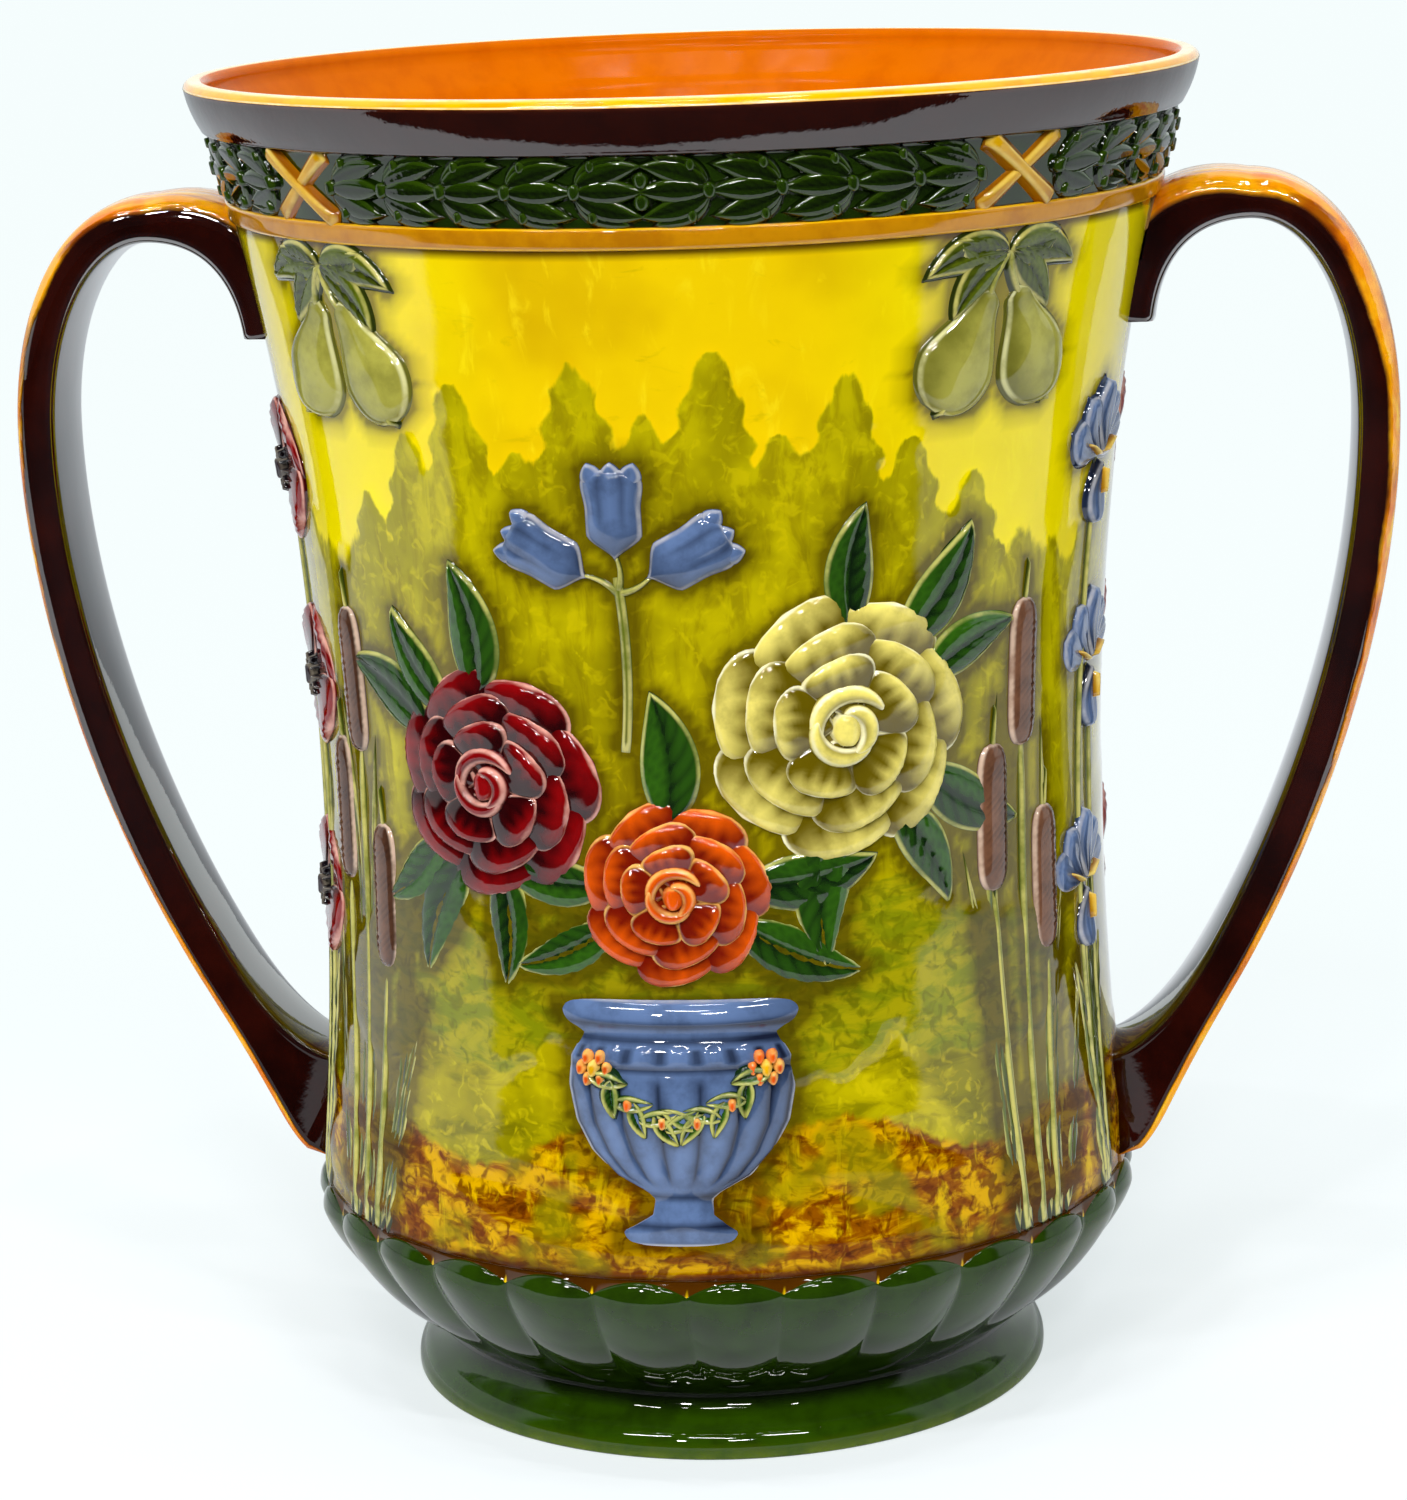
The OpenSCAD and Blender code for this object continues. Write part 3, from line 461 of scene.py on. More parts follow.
foot_edge = arc((FOOT_R - FOOT_ROUND, FOOT_ROUND_Z), FOOT_ROUND, 0, FOOT_ROUND_TURN, 18)
turn = np.radians(FOOT_ROUND_TURN + 90)
foot_sweep = pulled_curve(foot_edge[-1], SWEEP_PULL * np.array([np.cos(turn), np.sin(turn)]),
                          np.array([NECK_TOP_R, NECK_TOP_Z]), np.array([0, NECK_PULL]),
                          np.linspace(0, 1, 28)[1:, None])
foot_profile = np.vstack([
    [[FOOT_BORE_R, 0.0], [FOOT_BORE_R + FOOT_FLAT, 0.0]],
    arc((FOOT_R - FOOT_SOFT, FOOT_SOFT), FOOT_SOFT, -90, 0),
    foot_edge,
    foot_sweep,
    [[FOOT_NECK_R - 1, NECK_TOP_Z], [FOOT_BORE_R, FOOT_H + 0.3], [FOOT_BORE_R, FOOT_H / 2]],
])
turned_piece("turned_foot", "foot", "green_glaze", foot_profile, [FOOT_GREEN],
             rim=np.interp(foot_profile[:, 1], FOOT_EDGE_Z, FOOT_EDGE_BREAK_AND_LIGHT),
             tone=smooth(foot_profile[:, 1], *FOOT_SHADE_Z))
print("foot:", len(foot_profile), "rings")

# %% [markdown]
# The bowl is ringed by gadroons: 28 upright lobes with creases between them, scalloped at both ends. The
# radius is a turned profile less a groove that deepens with the square of the distance across a lobe, and
# towards the lower end with the square of the distance past the lobe's full height, so each lobe ends round.
# Between the lobe tops a strip of earth colour shows, bright where the glaze thins over each valley.
# Painted shade darkens the lobes towards their lower ends and in the creases there, and a pale painted
# reflection runs up the creases above.

# %% Gadrooned bowl
BOWL_R, WIDE_Z, FLOOR_Z = 80.8, 37.0, 16.0
LOBES, LOBE_COLUMNS, LOBE_DEPTH, SCALLOP = 28, 28, 1.8, 2.8
LOBE_LOW_Z, LOBE_FULL_Z, LOBE_GAP = 13.5, 25.0, 0.4
BOWL_CURVE, BOWL_FULLNESS, FLOOR_FULLNESS = 1.3, 0.75, 0.55
CREASE_FROM, CREASE_REFLECTION, CREASE_SHADE, CREASE_END = 0.84, 0.40, 0.9, 0.3
VALLEY_FROM, VALLEY_RIM, UNDER_SHADE = 0.93, 0.78, 0.97
LOBED, LINED, EARTHED = 0, 1, 2

lobe_angles = np.linspace(0, 2 * np.pi, LOBES * LOBE_COLUMNS, endpoint=False)
columns = len(lobe_angles)
x = 2 * (np.arange(columns) % LOBE_COLUMNS) / LOBE_COLUMNS - 1
k = np.linspace(0, np.pi / 2, 48)[:, None]
under_z = BOWL_Z + (WIDE_Z - BOWL_Z) * (1 - np.cos(k))
swelling = (1 - ((WIDE_Z - under_z) / (WIDE_Z - BOWL_Z)) ** BOWL_CURVE) ** BOWL_FULLNESS
under_r = FOOT_NECK_R + (BOWL_R - FOOT_NECK_R) * swelling
past_end = np.clip((LOBE_FULL_Z - under_z) / (LOBE_FULL_Z - LOBE_LOW_Z), 0, 1)
lobe = np.clip(1 - x ** 2 - past_end ** 2, 0, 1)
fade = np.clip((under_z - BOWL_Z) / (LOBE_LOW_Z - BOWL_Z), 0, 1)
under = np.stack([under_r - LOBE_DEPTH * (1 - lobe) * fade, under_z + 0 * x], -1)
share = np.sin(np.linspace(0, np.pi / 2, 16))[1:, None]
lobe_reach = BOWL_R - LOBE_DEPTH * x ** 2 - WALL_BASE_R
shoulder_r = WALL_BASE_R + lobe_reach * rounded(share)
shoulder_z = WIDE_Z + share * (BOWL_TOP_Z - WIDE_Z - LOBE_GAP - SCALLOP * x ** 2)
shoulder = np.stack([shoulder_r, shoulder_z], -1)
ledge = np.stack([np.full((1, columns), WALL_BASE_R - 0.3), np.full((1, columns), BOWL_TOP_Z)], -1)
a = np.linspace(0, np.pi / 2, 26)[:-1, None]
inner = np.stack([(WALL_BASE_R - WALL_T) * np.cos(a) ** FLOOR_FULLNESS + 0 * x,
                  BOWL_TOP_Z - (BOWL_TOP_Z - FLOOR_Z) * np.sin(a) ** FLOOR_FULLNESS + 0 * x], -1)
bowl_grid = np.concatenate([under, shoulder, ledge, inner])
rows, outside = len(bowl_grid), len(under) + len(shoulder)
bowl_points = np.vstack([around(bowl_grid, lobe_angles), [[0, 0, BOWL_Z], [0, 0, FLOOR_Z]]])
bowl_faces = [grid_faces(rows, columns), fan(rows * columns, 0, columns, True),
              fan(rows * columns + 1, (rows - 1) * columns, columns)]
ring_glaze = np.where(np.arange(rows - 1) >= outside, LINED, LOBED)
ring_glaze[outside - 1] = EARTHED
bowl_glaze = np.r_[np.repeat(ring_glaze, columns), np.full(columns, LOBED), np.full(columns, LINED)]
# Painted reflection: a pale line along the creases, in the upper part of each lobe.
crease_reflection = CREASE_REFLECTION * np.clip((np.abs(x) - CREASE_FROM) / (1 - CREASE_FROM), 0, 1)
valley = VALLEY_RIM * np.clip((np.abs(x) - VALLEY_FROM) / (1 - VALLEY_FROM), 0, 1)
shoulder_rim = crease_reflection + 0 * share
shoulder_rim[-1] = np.maximum(crease_reflection, valley)
plain = np.zeros((len(ledge) + len(inner), columns))
bowl_rim = np.concatenate([crease_reflection * (past_end < CREASE_END), shoulder_rim, plain]).ravel()
# Painted shade: darker towards the lobes' lower ends and in the creases there.
crease_shade = CREASE_SHADE * smooth(np.abs(x), 0.8, 1) * (past_end >= CREASE_END)
under_shade = np.maximum(UNDER_SHADE * smooth(LOBE_FULL_Z - under_z, -3, 8), crease_shade)
bowl_shade = np.concatenate([under_shade, 0 * shoulder_r, plain]).ravel()
make_piece("gadrooned_bowl", "gadroon_bowl", "green_glaze", bowl_points, bowl_faces, [GREEN, LINING, EARTH],
           bowl_glaze, rim=np.r_[bowl_rim, 0, 0], tone=np.r_[bowl_shade, 1, 0])
print("bowl:", LOBES, "lobes,", len(bowl_points), "points")

# %% [markdown]
# The tall wall is one closed form: the picture outside, the ground of the bands, the moulded rim, the lip and
# the lining. A low landscape is modelled in the picture, half a millimetre high: hills, a hedge and a stand
# of tall poplars. The same fields that raise the clay also tell the painter's colours where to go.

# %% Landscape fields
FRONT, BACK, RIGHT, LEFT = -np.pi / 2, np.pi / 2, 0.0, np.pi
PANELS = {"front": FRONT, "back": BACK}
HILL_LINE = (112, (9, 2, 0.5), (4, 6, 1.9), (2, 14, 0))
WOOD_LINE = (173, (5, 4, 0.9), (3, 18, 0.3), (1.5, 46, 0))
GROUND_LINE = (66, (4, 4, 1.1), (2.5, 10, 0.4))
POPLARS = [(-58, 122, 62, 12), (-46, 122, 74, 12), (-35, 126, 80, 12), (-24, 126, 68, 13),
           (-13, 126, 84, 12), (-2, 126, 74, 13), (9, 126, 86, 12), (20, 126, 70, 13), (31, 126, 80, 12),
           (43, 124, 70, 12), (56, 122, 64, 12)]
BUSHES = [(-66, 88, 15), (-52, 97, 17), (-37, 92, 16), (-22, 99, 16), (-6, 93, 17), (9, 99, 16),
          (24, 92, 17), (39, 99, 17), (53, 92, 16), (66, 90, 15)]


def wavy(angle, base, *waves):
    """A line's height round the cup: a base and waves, each a height, a count round the cup and a lead."""
    line_z = base
    for height, count, lead in waves:
        line_z = line_z + height * np.sin(count * angle + lead)
    return line_z


def landscape(angle, z):
    """Fields from 0 to 1 over the wall. Hill, wood and ground lie under wavy lines; a poplar is as wide as a
    skewed arch of its height, ruffled in small waves; a bush is a round with a ruffled edge."""
    hill = smooth(wavy(angle, *HILL_LINE) - z, -5, 5)
    ground = smooth(wavy(angle, *GROUND_LINE) - z, -4, 4)
    poplar, bush = smooth(wavy(angle, *WOOD_LINE) - z, -6, 6), np.zeros_like(z)
    for centre in PANELS.values():
        across = (np.mod(angle - centre + np.pi, 2 * np.pi) - np.pi) * WAIST_R
        for u, foot_z, height, half in POPLARS:
            climb = np.clip((z - foot_z) / height, 0, 1)
            ruffle = 1 + 0.14 * np.sin(z * 0.9 + u)
            reach = half * np.clip(np.sin(np.pi * climb ** 0.62), 0, 1) ** 0.7 * ruffle
            poplar = np.maximum(poplar, smooth(reach - np.abs(across - u), -2.0, 2.0) * (reach > 0.4))
        for u, middle, radius in BUSHES:
            gap = np.hypot(across - u, (z - middle) * 1.15) + 1.2 * np.sin(across * 0.7) * np.cos(z * 0.6)
            bush = np.maximum(bush, smooth(radius - gap, -2, 3))
    return hill, poplar, bush, ground


print("landscape:", len(POPLARS), "poplars and", len(BUSHES), "bushes a panel")

# %% [markdown]
# The picture is painted in washes. Golden sky comes first, then olive trees and hills, green hedges, and
# ochre and brown earth, each laid over the last with a brushed edge, so the noise that drives them is drawn
# out along the stroke. Each wash is a ground colour with others dabbed over it. The earth looks drier than the
# rest, so the clear coat is thinner there.

# %% Painted picture
POOL_SHADE, EARTH_DRY, PICTURE_GLOSS = 0.75, 0.8, 0.045
POOL_SHADE_BROWN, SEAM_BROWN = (58, 40, 0), (74, 30, 2)
UPRIGHT, LEVEL = (1.0, 1.0, 0.32), (0.6, 0.6, 1.5)
WASHES = {
    "sky": ((246, 208, 0), ((222, 180, 0), "cloud", 0.42, 0.66, 1.0),
            ((255, 228, 24), "strokes", 0.54, 0.72, 0.6), ((196, 166, 0), "daubs", 0.60, 0.74, 0.4),
            # Painted light: the sky turns lighter yellow towards the handles, left and right.
            ((255, 240, 0), "sides", 0.020, 0.055, 0.7)),
    "poplar": ((182, 172, 0), ((138, 132, 0), "patches", 0.36, 0.64, 1.0),
               ((102, 92, 0), "strokes", 0.46, 0.68, 0.65), ((204, 190, 4), "dabs", 0.52, 0.70, 0.5)),
    "hill": ((182, 168, 0), ((132, 124, 0), "patches", 0.36, 0.64, 1.0),
             ((92, 88, 0), "daubs", 0.46, 0.70, 0.65), ((206, 188, 8), "dabs", 0.52, 0.70, 0.5)),
    "bush": ((112, 122, 6), ((164, 154, 8), "daubs", 0.38, 0.62, 1.0),
             ((60, 72, 2), "dabs", 0.48, 0.68, 0.7)),
    "ground": ((206, 158, 0), ((132, 72, 0), "daubs", 0.40, 0.58, 1.0),
               ((92, 34, 0), "dabs", 0.47, 0.64, 0.8), ((226, 188, 0), "strokes", 0.56, 0.70, 0.7),
               ((124, 120, 4), "patches", 0.52, 0.66, 0.7), ((62, 20, 0), "daubs", 0.58, 0.70, 0.75)),
}
FIELD_EDGES = {"poplar": (1.0, 0.9), "hill": (0.5, 1.0), "bush": (0.8, 0.85), "ground": (0.9, 1.0)}


def painted_picture():
    """Washes over the wall: each field of the landscape, roughened by brush noise, brings in its colour."""
    material, vector = new_material("painted_picture")
    tree = material.node_tree
    upright = add(tree, "ShaderNodeMapping", {"Vector": vector, "Scale": UPRIGHT}).outputs[0]
    level = add(tree, "ShaderNodeMapping", {"Vector": vector, "Scale": LEVEL}).outputs[0]
    across = add(tree, "ShaderNodeSeparateXYZ", {"Vector": vector}).outputs["X"]
    brush = {
        "strokes": noise(tree, upright, 230.0, 4.0, 0.6, 0.7),
        "daubs": noise(tree, level, 170.0, 4.0, 0.6, 0.8),
        "dabs": noise(tree, vector, 340.0, 2.0, 0.5, 1.0),
        "patches": noise(tree, vector, 62.0, 3.0, 0.55),
        "cloud": noise(tree, vector, 26.0, 3.0, 0.55),
        # How far a point lies to the left or right, which places the painted light on the sky.
        "sides": maths(tree, "ABSOLUTE", across),
    }

    def wash(base, *layers):
        """A base colour with others laid over it where a brush noise is high."""
        colour = srgb(*base)
        for over, source, low, high, most in layers:
            colour = mixed(tree, soft_step(tree, brush[source], low, high, 0.0, most), colour, srgb(*over))
        return colour

    paint = wash(*WASHES["sky"])
    for field, (ragged, most) in FIELD_EDGES.items():
        rough = times(tree, maths(tree, "SUBTRACT", brush["strokes"], 0.5), ragged)
        cover = soft_step(tree, maths(tree, "ADD", mark(tree, field), rough), 0.32, 0.62, 0.0, most)
        paint = mixed(tree, cover, paint, wash(*WASHES[field]))
    # Painted shade round every sprig, darker where the glaze pools against it.
    paint = mixed(tree, times(tree, mark(tree, "pooled_and_shade"), POOL_SHADE), paint, srgb(*POOL_SHADE_BROWN))
    paint = mixed(tree, mark(tree, "tone"), paint, srgb(*SEAM_BROWN))
    wet = maths(tree, "SUBTRACT", 1.0, times(tree, mark(tree, "ground"), EARTH_DRY))
    return fired(material, paint, vector, PICTURE_GLOSS, ior=WASH_IOR, coat=wet, coat_ior=PAINT_IOR)


PICTURE = painted_picture()
print("picture:", len(WASHES), "washes")

# %% [markdown]
# The wall's profile goes up the outside, over the lip and down the inside. Each stretch of rings has its own
# glaze: picture, laurel ground, brown rim, bright lip and orange lining. The top of the lip is painted pale,
# a painted highlight.

# %% Painted wall
RIM_OUT_R, RIM_ROLL, RIM_BULGE, RIM_T, LIP_R = BAND_TOP_R + 2.0, 1.0, 0.35, 4.5, 1.8
LINING_DARK, LINING_FADE, SEAM_LAP = 0.75, 34.0, 0.35
HILL_RISE, POPLAR_RISE, BUSH_RISE, CLOD_RISE = 0.3, 0.35, 0.35, 0.2
# Along the lip the lowest row pools dark and the top rows are painted pale, a painted highlight.
RIM_EDGE, LIP_BREAK_AND_HIGHLIGHT = (1, 0.9, 0.2, 0.1, 0.6), (0.95, 0.1, 0.62, 0.62)


def bowed(start, end, bulge, steps):
    """A shallow arc between two points that bows outwards by the bulge in its middle."""
    s = np.linspace(0, 1, steps)[:, None]
    start, end = np.array(start), np.array(end)
    along = (end - start) / np.linalg.norm(end - start)
    return start + s * (end - start) + 4 * bulge * s * (1 - s) * np.array([along[1], -along[0]])


def curve_through(corners, steps):
    """A polyline through corner points, cut into even steps along its length."""
    corners = np.asarray(corners, float)
    lengths = np.r_[0, np.cumsum(np.hypot(*np.diff(corners, axis=0).T))]
    at = np.linspace(0, lengths[-1], steps)
    return np.stack([np.interp(at, lengths, corners[:, k]) for k in (0, 1)], -1)


wall_z = np.linspace(WALL_Z - SEAM_LAP, CORDON_Z + 0.5, 160)
band_z = np.linspace(CORDON_Z + 1.5, RIM_Z - 0.6, 10)
inner_z = np.linspace(CORDON_Z, WALL_Z - SEAM_LAP, 22)
picture_profile = np.stack([wall_radius(wall_z), wall_z], -1)
band_profile = np.stack([band_radius(band_z), band_z], -1)
rim_profile = np.vstack([
    [[BAND_TOP_R, RIM_Z - 0.2], [BAND_TOP_R + 0.3, RIM_Z]],
    arc((RIM_OUT_R - RIM_ROLL - 0.1, RIM_Z + RIM_ROLL), RIM_ROLL, -90, -32),
    bowed((RIM_OUT_R - 0.2, RIM_Z + 0.6), (RIM_R - 0.1, CUP_H - LIP_R), RIM_BULGE, 16),
])
lip_profile = np.vstack([
    arc((RIM_R - LIP_R, CUP_H - LIP_R), LIP_R, 8, 90, 9),
    arc((RIM_R - RIM_T + LIP_R, CUP_H - LIP_R), LIP_R, 90, 180, 9),
])
throat = [[RIM_R - RIM_T, CUP_H - LIP_R - 1], [BAND_TOP_R - WALL_T, RIM_Z], [NECK_R - WALL_T, CORDON_Z]]
inside_profile = np.vstack([curve_through(throat, 16)[:-1],
                            np.stack([wall_radius(inner_z) - WALL_T, inner_z], -1)])
wall_profile = np.vstack([picture_profile, band_profile, rim_profile, lip_profile, inside_profile])
angle, height = np.meshgrid(ROUND, wall_profile[:, 1])
on_picture = (np.arange(len(wall_profile)) < len(wall_z))[:, None]
hill, poplar, bush, ground = (np.where(on_picture, f, 0) for f in landscape(angle, height))
clods = CLOD_RISE * ground * np.sin(9 * angle + 0.4 * height)
relief = HILL_RISE * hill + POPLAR_RISE * poplar + BUSH_RISE * bush + clods
relief *= smooth(height, WALL_Z + 1, WALL_Z + 5) * smooth(CORDON_Z - height, 0.5, 3)
wall_grid = np.stack([wall_profile[:, :1] + relief, height], -1)

lip_rows = len(lip_profile) // 2 + 2
lining_rows = len(inside_profile) + len(lip_profile) - lip_rows
zone_ends = np.cumsum([len(wall_z), len(band_profile), len(rim_profile), lip_rows, lining_rows])
row_zone = np.searchsorted(zone_ends, np.arange(len(wall_profile)), side="right")
rim_rows = len(rim_profile)
wall_rim = np.zeros(len(wall_profile))
rim_at, lip_at = [0, 3, 6, rim_rows - 3, rim_rows - 1], [0, 2, 6, lip_rows - 1]
wall_rim[zone_ends[1]:zone_ends[2]] = np.interp(np.arange(rim_rows), rim_at, RIM_EDGE)
wall_rim[zone_ends[2]:zone_ends[3]] = np.interp(np.arange(lip_rows), lip_at, LIP_BREAK_AND_HIGHLIGHT)
seams = np.maximum(smooth(WALL_Z + 1.4 - height, 0, 1.2), smooth(height - CORDON_Z + 1.2, 0, 0.8))
wall_tone = np.where(on_picture, seams, 0)
wall_tone[zone_ends[3]:] = LINING_DARK * smooth(height[zone_ends[3]:], CUP_H - LINING_FADE, CUP_H - 3)
turned_piece("painted_wall", "wall", "golden_glaze", wall_grid, [PICTURE, LAUREL, RIM_BROWN, LIP, LINING],
             row_zone, hill=hill, poplar=poplar, bush=bush, ground=ground, tone=wall_tone, rim=wall_rim)
print("wall:", wall_grid.shape[0], "rings of", len(ROUND))

# %% [markdown]
# The cordon is a half-round band of tan glaze under the laurel, with a pale lower edge that is a painted
# highlight.

# %% Cordon
CORDON_RISE, CORDON_SUNK = 1.0, 0.6
s = np.linspace(-1, 1, 19)
cordon_z = (CORDON_Z + LAUREL_Z) / 2 + s * (LAUREL_Z - CORDON_Z) / 2
cordon_r = band_radius(cordon_z) + CORDON_RISE * (0.2 + 0.8 * np.sqrt(1 - s ** 4))
cordon_profile = np.vstack([np.stack([cordon_r, cordon_z], -1),
                            [[band_radius(z) - CORDON_SUNK, z] for z in (LAUREL_Z, CORDON_Z)]])
# Pale towards the lower edge, a painted highlight; dark at the top, where the band meets the laurel ground.
cordon_edges_and_highlight = np.r_[np.interp(s, [-1, -0.85, -0.6, 0.7, 1], [1, 0.72, 0.2, 0.2, 0.95]), 1, 1]
turned_piece("tan_cordon", "cordon", "tan_glaze", cordon_profile, [TAN], rim=cordon_edges_and_highlight)
print("cordon:", len(cordon_profile), "rings")

# %% [markdown]
# The handles are straps, pulled or pressed, that follow three curves: a long sweep up from the root, an arch,
# and a hook that turns down against the wall. A strap section, well rounded on its outer side, is carried
# along that path. The strap is thick at the root and fills the corner at the hook, as the solid does.

# %% Handle shape
STRAP_HALF_T = 4.5
WIDE_R = HANDLE_REACH - STRAP_HALF_T
ROOT_Z, WIDE_AT_Z = WALL_Z + 12.5, WALL_Z + 144.0
ARCH_R, ARCH_Z, HOOK_Z = 104.0, CORDON_Z - 0.8, CORDON_Z - 23.3
HOOK_TIP_T, HOOK_FILL = 4.4, 8.0
ROOT_R, HOOK_R = float(wall_radius(ROOT_Z)), float(wall_radius(HOOK_Z)) + HOOK_TIP_T / 2
SWEEP_BEND, ARCH_BEND, HOOK_BEND = (0.26, 0.045, 0.465), (0.6, 0.56), (0.6, 0.64)
STATIONS = (90, 44, 40)
ROOT_FLARE, FLARE_SHARE, ROOT_DEPTH, SUNK = 7.3, 0.35, 9.0, 2.4
STRAP_ROUND_ROOT, STRAP_ROUND_ARCH, STRAP_ROUND_IN = 1.7, 4.1, 1.6
STRAP_CROWN, STRAP_EASE, SIDE_DRAFT = 0.8, 0.4, 0.15
ROUND_FROM_Z, ROUND_FULL_Z = 80.0, 190.0


def bezier(points, t):
    """Point and unit direction on a curve of four control points."""
    p = np.asarray(points, float)
    t = t[:, None]
    at = (1 - t) ** 3 * p[0] + 3 * t * (1 - t) ** 2 * p[1] + 3 * t ** 2 * (1 - t) * p[2] + t ** 3 * p[3]
    d = (1 - t) ** 2 * (p[1] - p[0]) + 2 * t * (1 - t) * (p[2] - p[1]) + t ** 2 * (p[3] - p[2])
    return at, d / np.linalg.norm(d, axis=1)[:, None]


def strap_path():
    """Stations along the strap: place, direction, and thickness outside and inside the path."""
    out, climb = WIDE_R - ROOT_R, WIDE_AT_Z - ROOT_Z
    root, wide, top, tip = (ROOT_R, ROOT_Z), (WIDE_R, WIDE_AT_Z), (ARCH_R, ARCH_Z), (HOOK_R, HOOK_Z)
    curves = [
        (root, (ROOT_R + SWEEP_BEND[0] * out, ROOT_Z + SWEEP_BEND[1] * climb),
         (WIDE_R, WIDE_AT_Z - SWEEP_BEND[2] * climb), wide),
        (wide, (WIDE_R, WIDE_AT_Z + ARCH_BEND[0] * (ARCH_Z - WIDE_AT_Z)),
         (ARCH_R + ARCH_BEND[1] * (WIDE_R - ARCH_R), ARCH_Z), top),
        (top, (ARCH_R - HOOK_BEND[0] * (ARCH_R - HOOK_R), ARCH_Z),
         (HOOK_R, HOOK_Z + HOOK_BEND[1] * (ARCH_Z - HOOK_Z)), tip),
    ]
    t = [np.linspace(0, 1, n, endpoint=i == 2) for i, n in enumerate(STATIONS)]
    (p0, d0), (p1, d1), (p2, d2) = (bezier(c, u) for c, u in zip(curves, t))
    flare = STRAP_HALF_T + ROOT_FLARE * np.clip(1 - t[0] / FLARE_SHARE, 0, 1) ** 2
    even = np.full(len(t[1]), STRAP_HALF_T)
    outer = np.r_[flare[:1], flare, even, STRAP_HALF_T + HOOK_FILL * t[2]]
    inner = np.r_[flare[:1], flare, even, STRAP_HALF_T + (HOOK_TIP_T / 2 - STRAP_HALF_T) * t[2] ** 2]
    place = np.vstack([p0[:1] - ROOT_DEPTH * d0[:1], p0, p1, p2])
    return place, np.vstack([d0[:1], d0, d1, d2]), outer, inner


def strap_section(round_out):
    """Once round the strap: place across it, drop below its outer or inner face, and how far it faces out."""
    half = STRAP_W / 2
    bend = np.linspace(0, np.pi / 2, 9)
    face = np.linspace(1, -1, 11)[1:-1]
    parts = []
    for side, radius in ((1, round_out), (-1, STRAP_ROUND_IN)):
        flat = half - radius
        corner = flat + radius * np.cos(bend)
        across = np.r_[half, corner, flat * face, -corner[::-1], -half]
        facing = np.r_[0, np.sin(bend), np.ones(len(face)), np.sin(bend[::-1]), 0]
        drop = radius * (1 - facing) + STRAP_CROWN * (across / half) ** 2
        drop[[0, -1]] += STRAP_EASE
        parts.append((side * across, drop, side * facing))
    return [np.concatenate(p) for p in zip(*parts)]


def strap_points(side):
    """The section carried along the path on one side of the cup, with a point to close each end. The outer
    edges are crisp at the root and round on the arch, and the sides lean in near the root."""
    place, heading, outer, inner = strap_path()
    low, high = strap_section(STRAP_ROUND_ROOT), strap_section(STRAP_ROUND_ARCH)
    share = smooth(place[:, 1:], ROUND_FROM_Z, ROUND_FULL_Z)
    across, drop = (a + share * (b - a) for a, b in zip(low[:2], high[:2]))
    facing = low[2]
    m = len(facing)
    outside = np.arange(m) < m // 2
    reach = np.where(outside, outer[:, None] - drop, drop - inner[:, None])
    r = place[:, :1] + heading[:, 1:] * reach
    z = place[:, 1:] - heading[:, :1] * reach
    draft = SIDE_DRAFT * (1 - share) * (outer + inner)[:, None]
    y = across * np.where(outside, 1, 1 - draft / (STRAP_W / 2))
    points = np.stack([r, y, z], -1).reshape(-1, 3)
    points = np.vstack([points, points[:m].mean(0), points[-m:].mean(0)])
    from_axis = np.hypot(points[:, 0], points[:, 1])
    least = wall_radius(np.clip(points[:, 2], WALL_Z, CORDON_Z)) - SUNK
    points[:, :2] *= np.maximum(1, least / from_axis)[:, None]
    points[:, 2] = np.maximum(points[:, 2], WALL_Z + 0.3)
    points[:, :2] *= side
    travelled = np.r_[0, np.cumsum(np.linalg.norm(np.diff(place, axis=0), axis=1))]
    along = np.r_[np.repeat(travelled, m), travelled[0], travelled[-1]]
    return points, np.r_[np.tile(facing, len(place)), 0, 0], along, m


print("strap:", len(strap_path()[0]), "stations,", len(strap_section(STRAP_ROUND_ARCH)[0]), "points round")

# %% [markdown]
# Treacle-brown glaze covers the straps and runs off the outer face, where amber shows through in streaks. It
# lies thinner on the arch, thicker on the edges below, and draws off the edge again at the lower root. Marks on
# the points carry this to the glaze: how thin it lies, the place along and across the strap, and how much clear
# coat there is.

# %% Handles
ROOT_GLAZE_Z, ROOT_GLAZE_FADE, ROOT_THIN, ROOT_DRY = 120.0, 40.0, 0.08, 0.75
HANDLE_GLOSS, HANDLE_COAT_IOR, SIDE_WET = 0.035, 2.6, 0.5
RUNNEL_HEIGHT, STREAK_STRETCH = 2.2, 0.16
TREACLE, TREACLE_DARK = (40, 6, 1), (20, 2, 0)
AMBER, AMBER_DEEP, AMBER_PALE, AMBER_DARK = (246, 166, 0), (218, 112, 0), (255, 208, 40), (128, 46, 0)
HANDLES = {"right": (1, (186.0, 211.0), 0.12, 0.22), "left": (-1, (207.0, 216.0), -0.18, 0.42)}


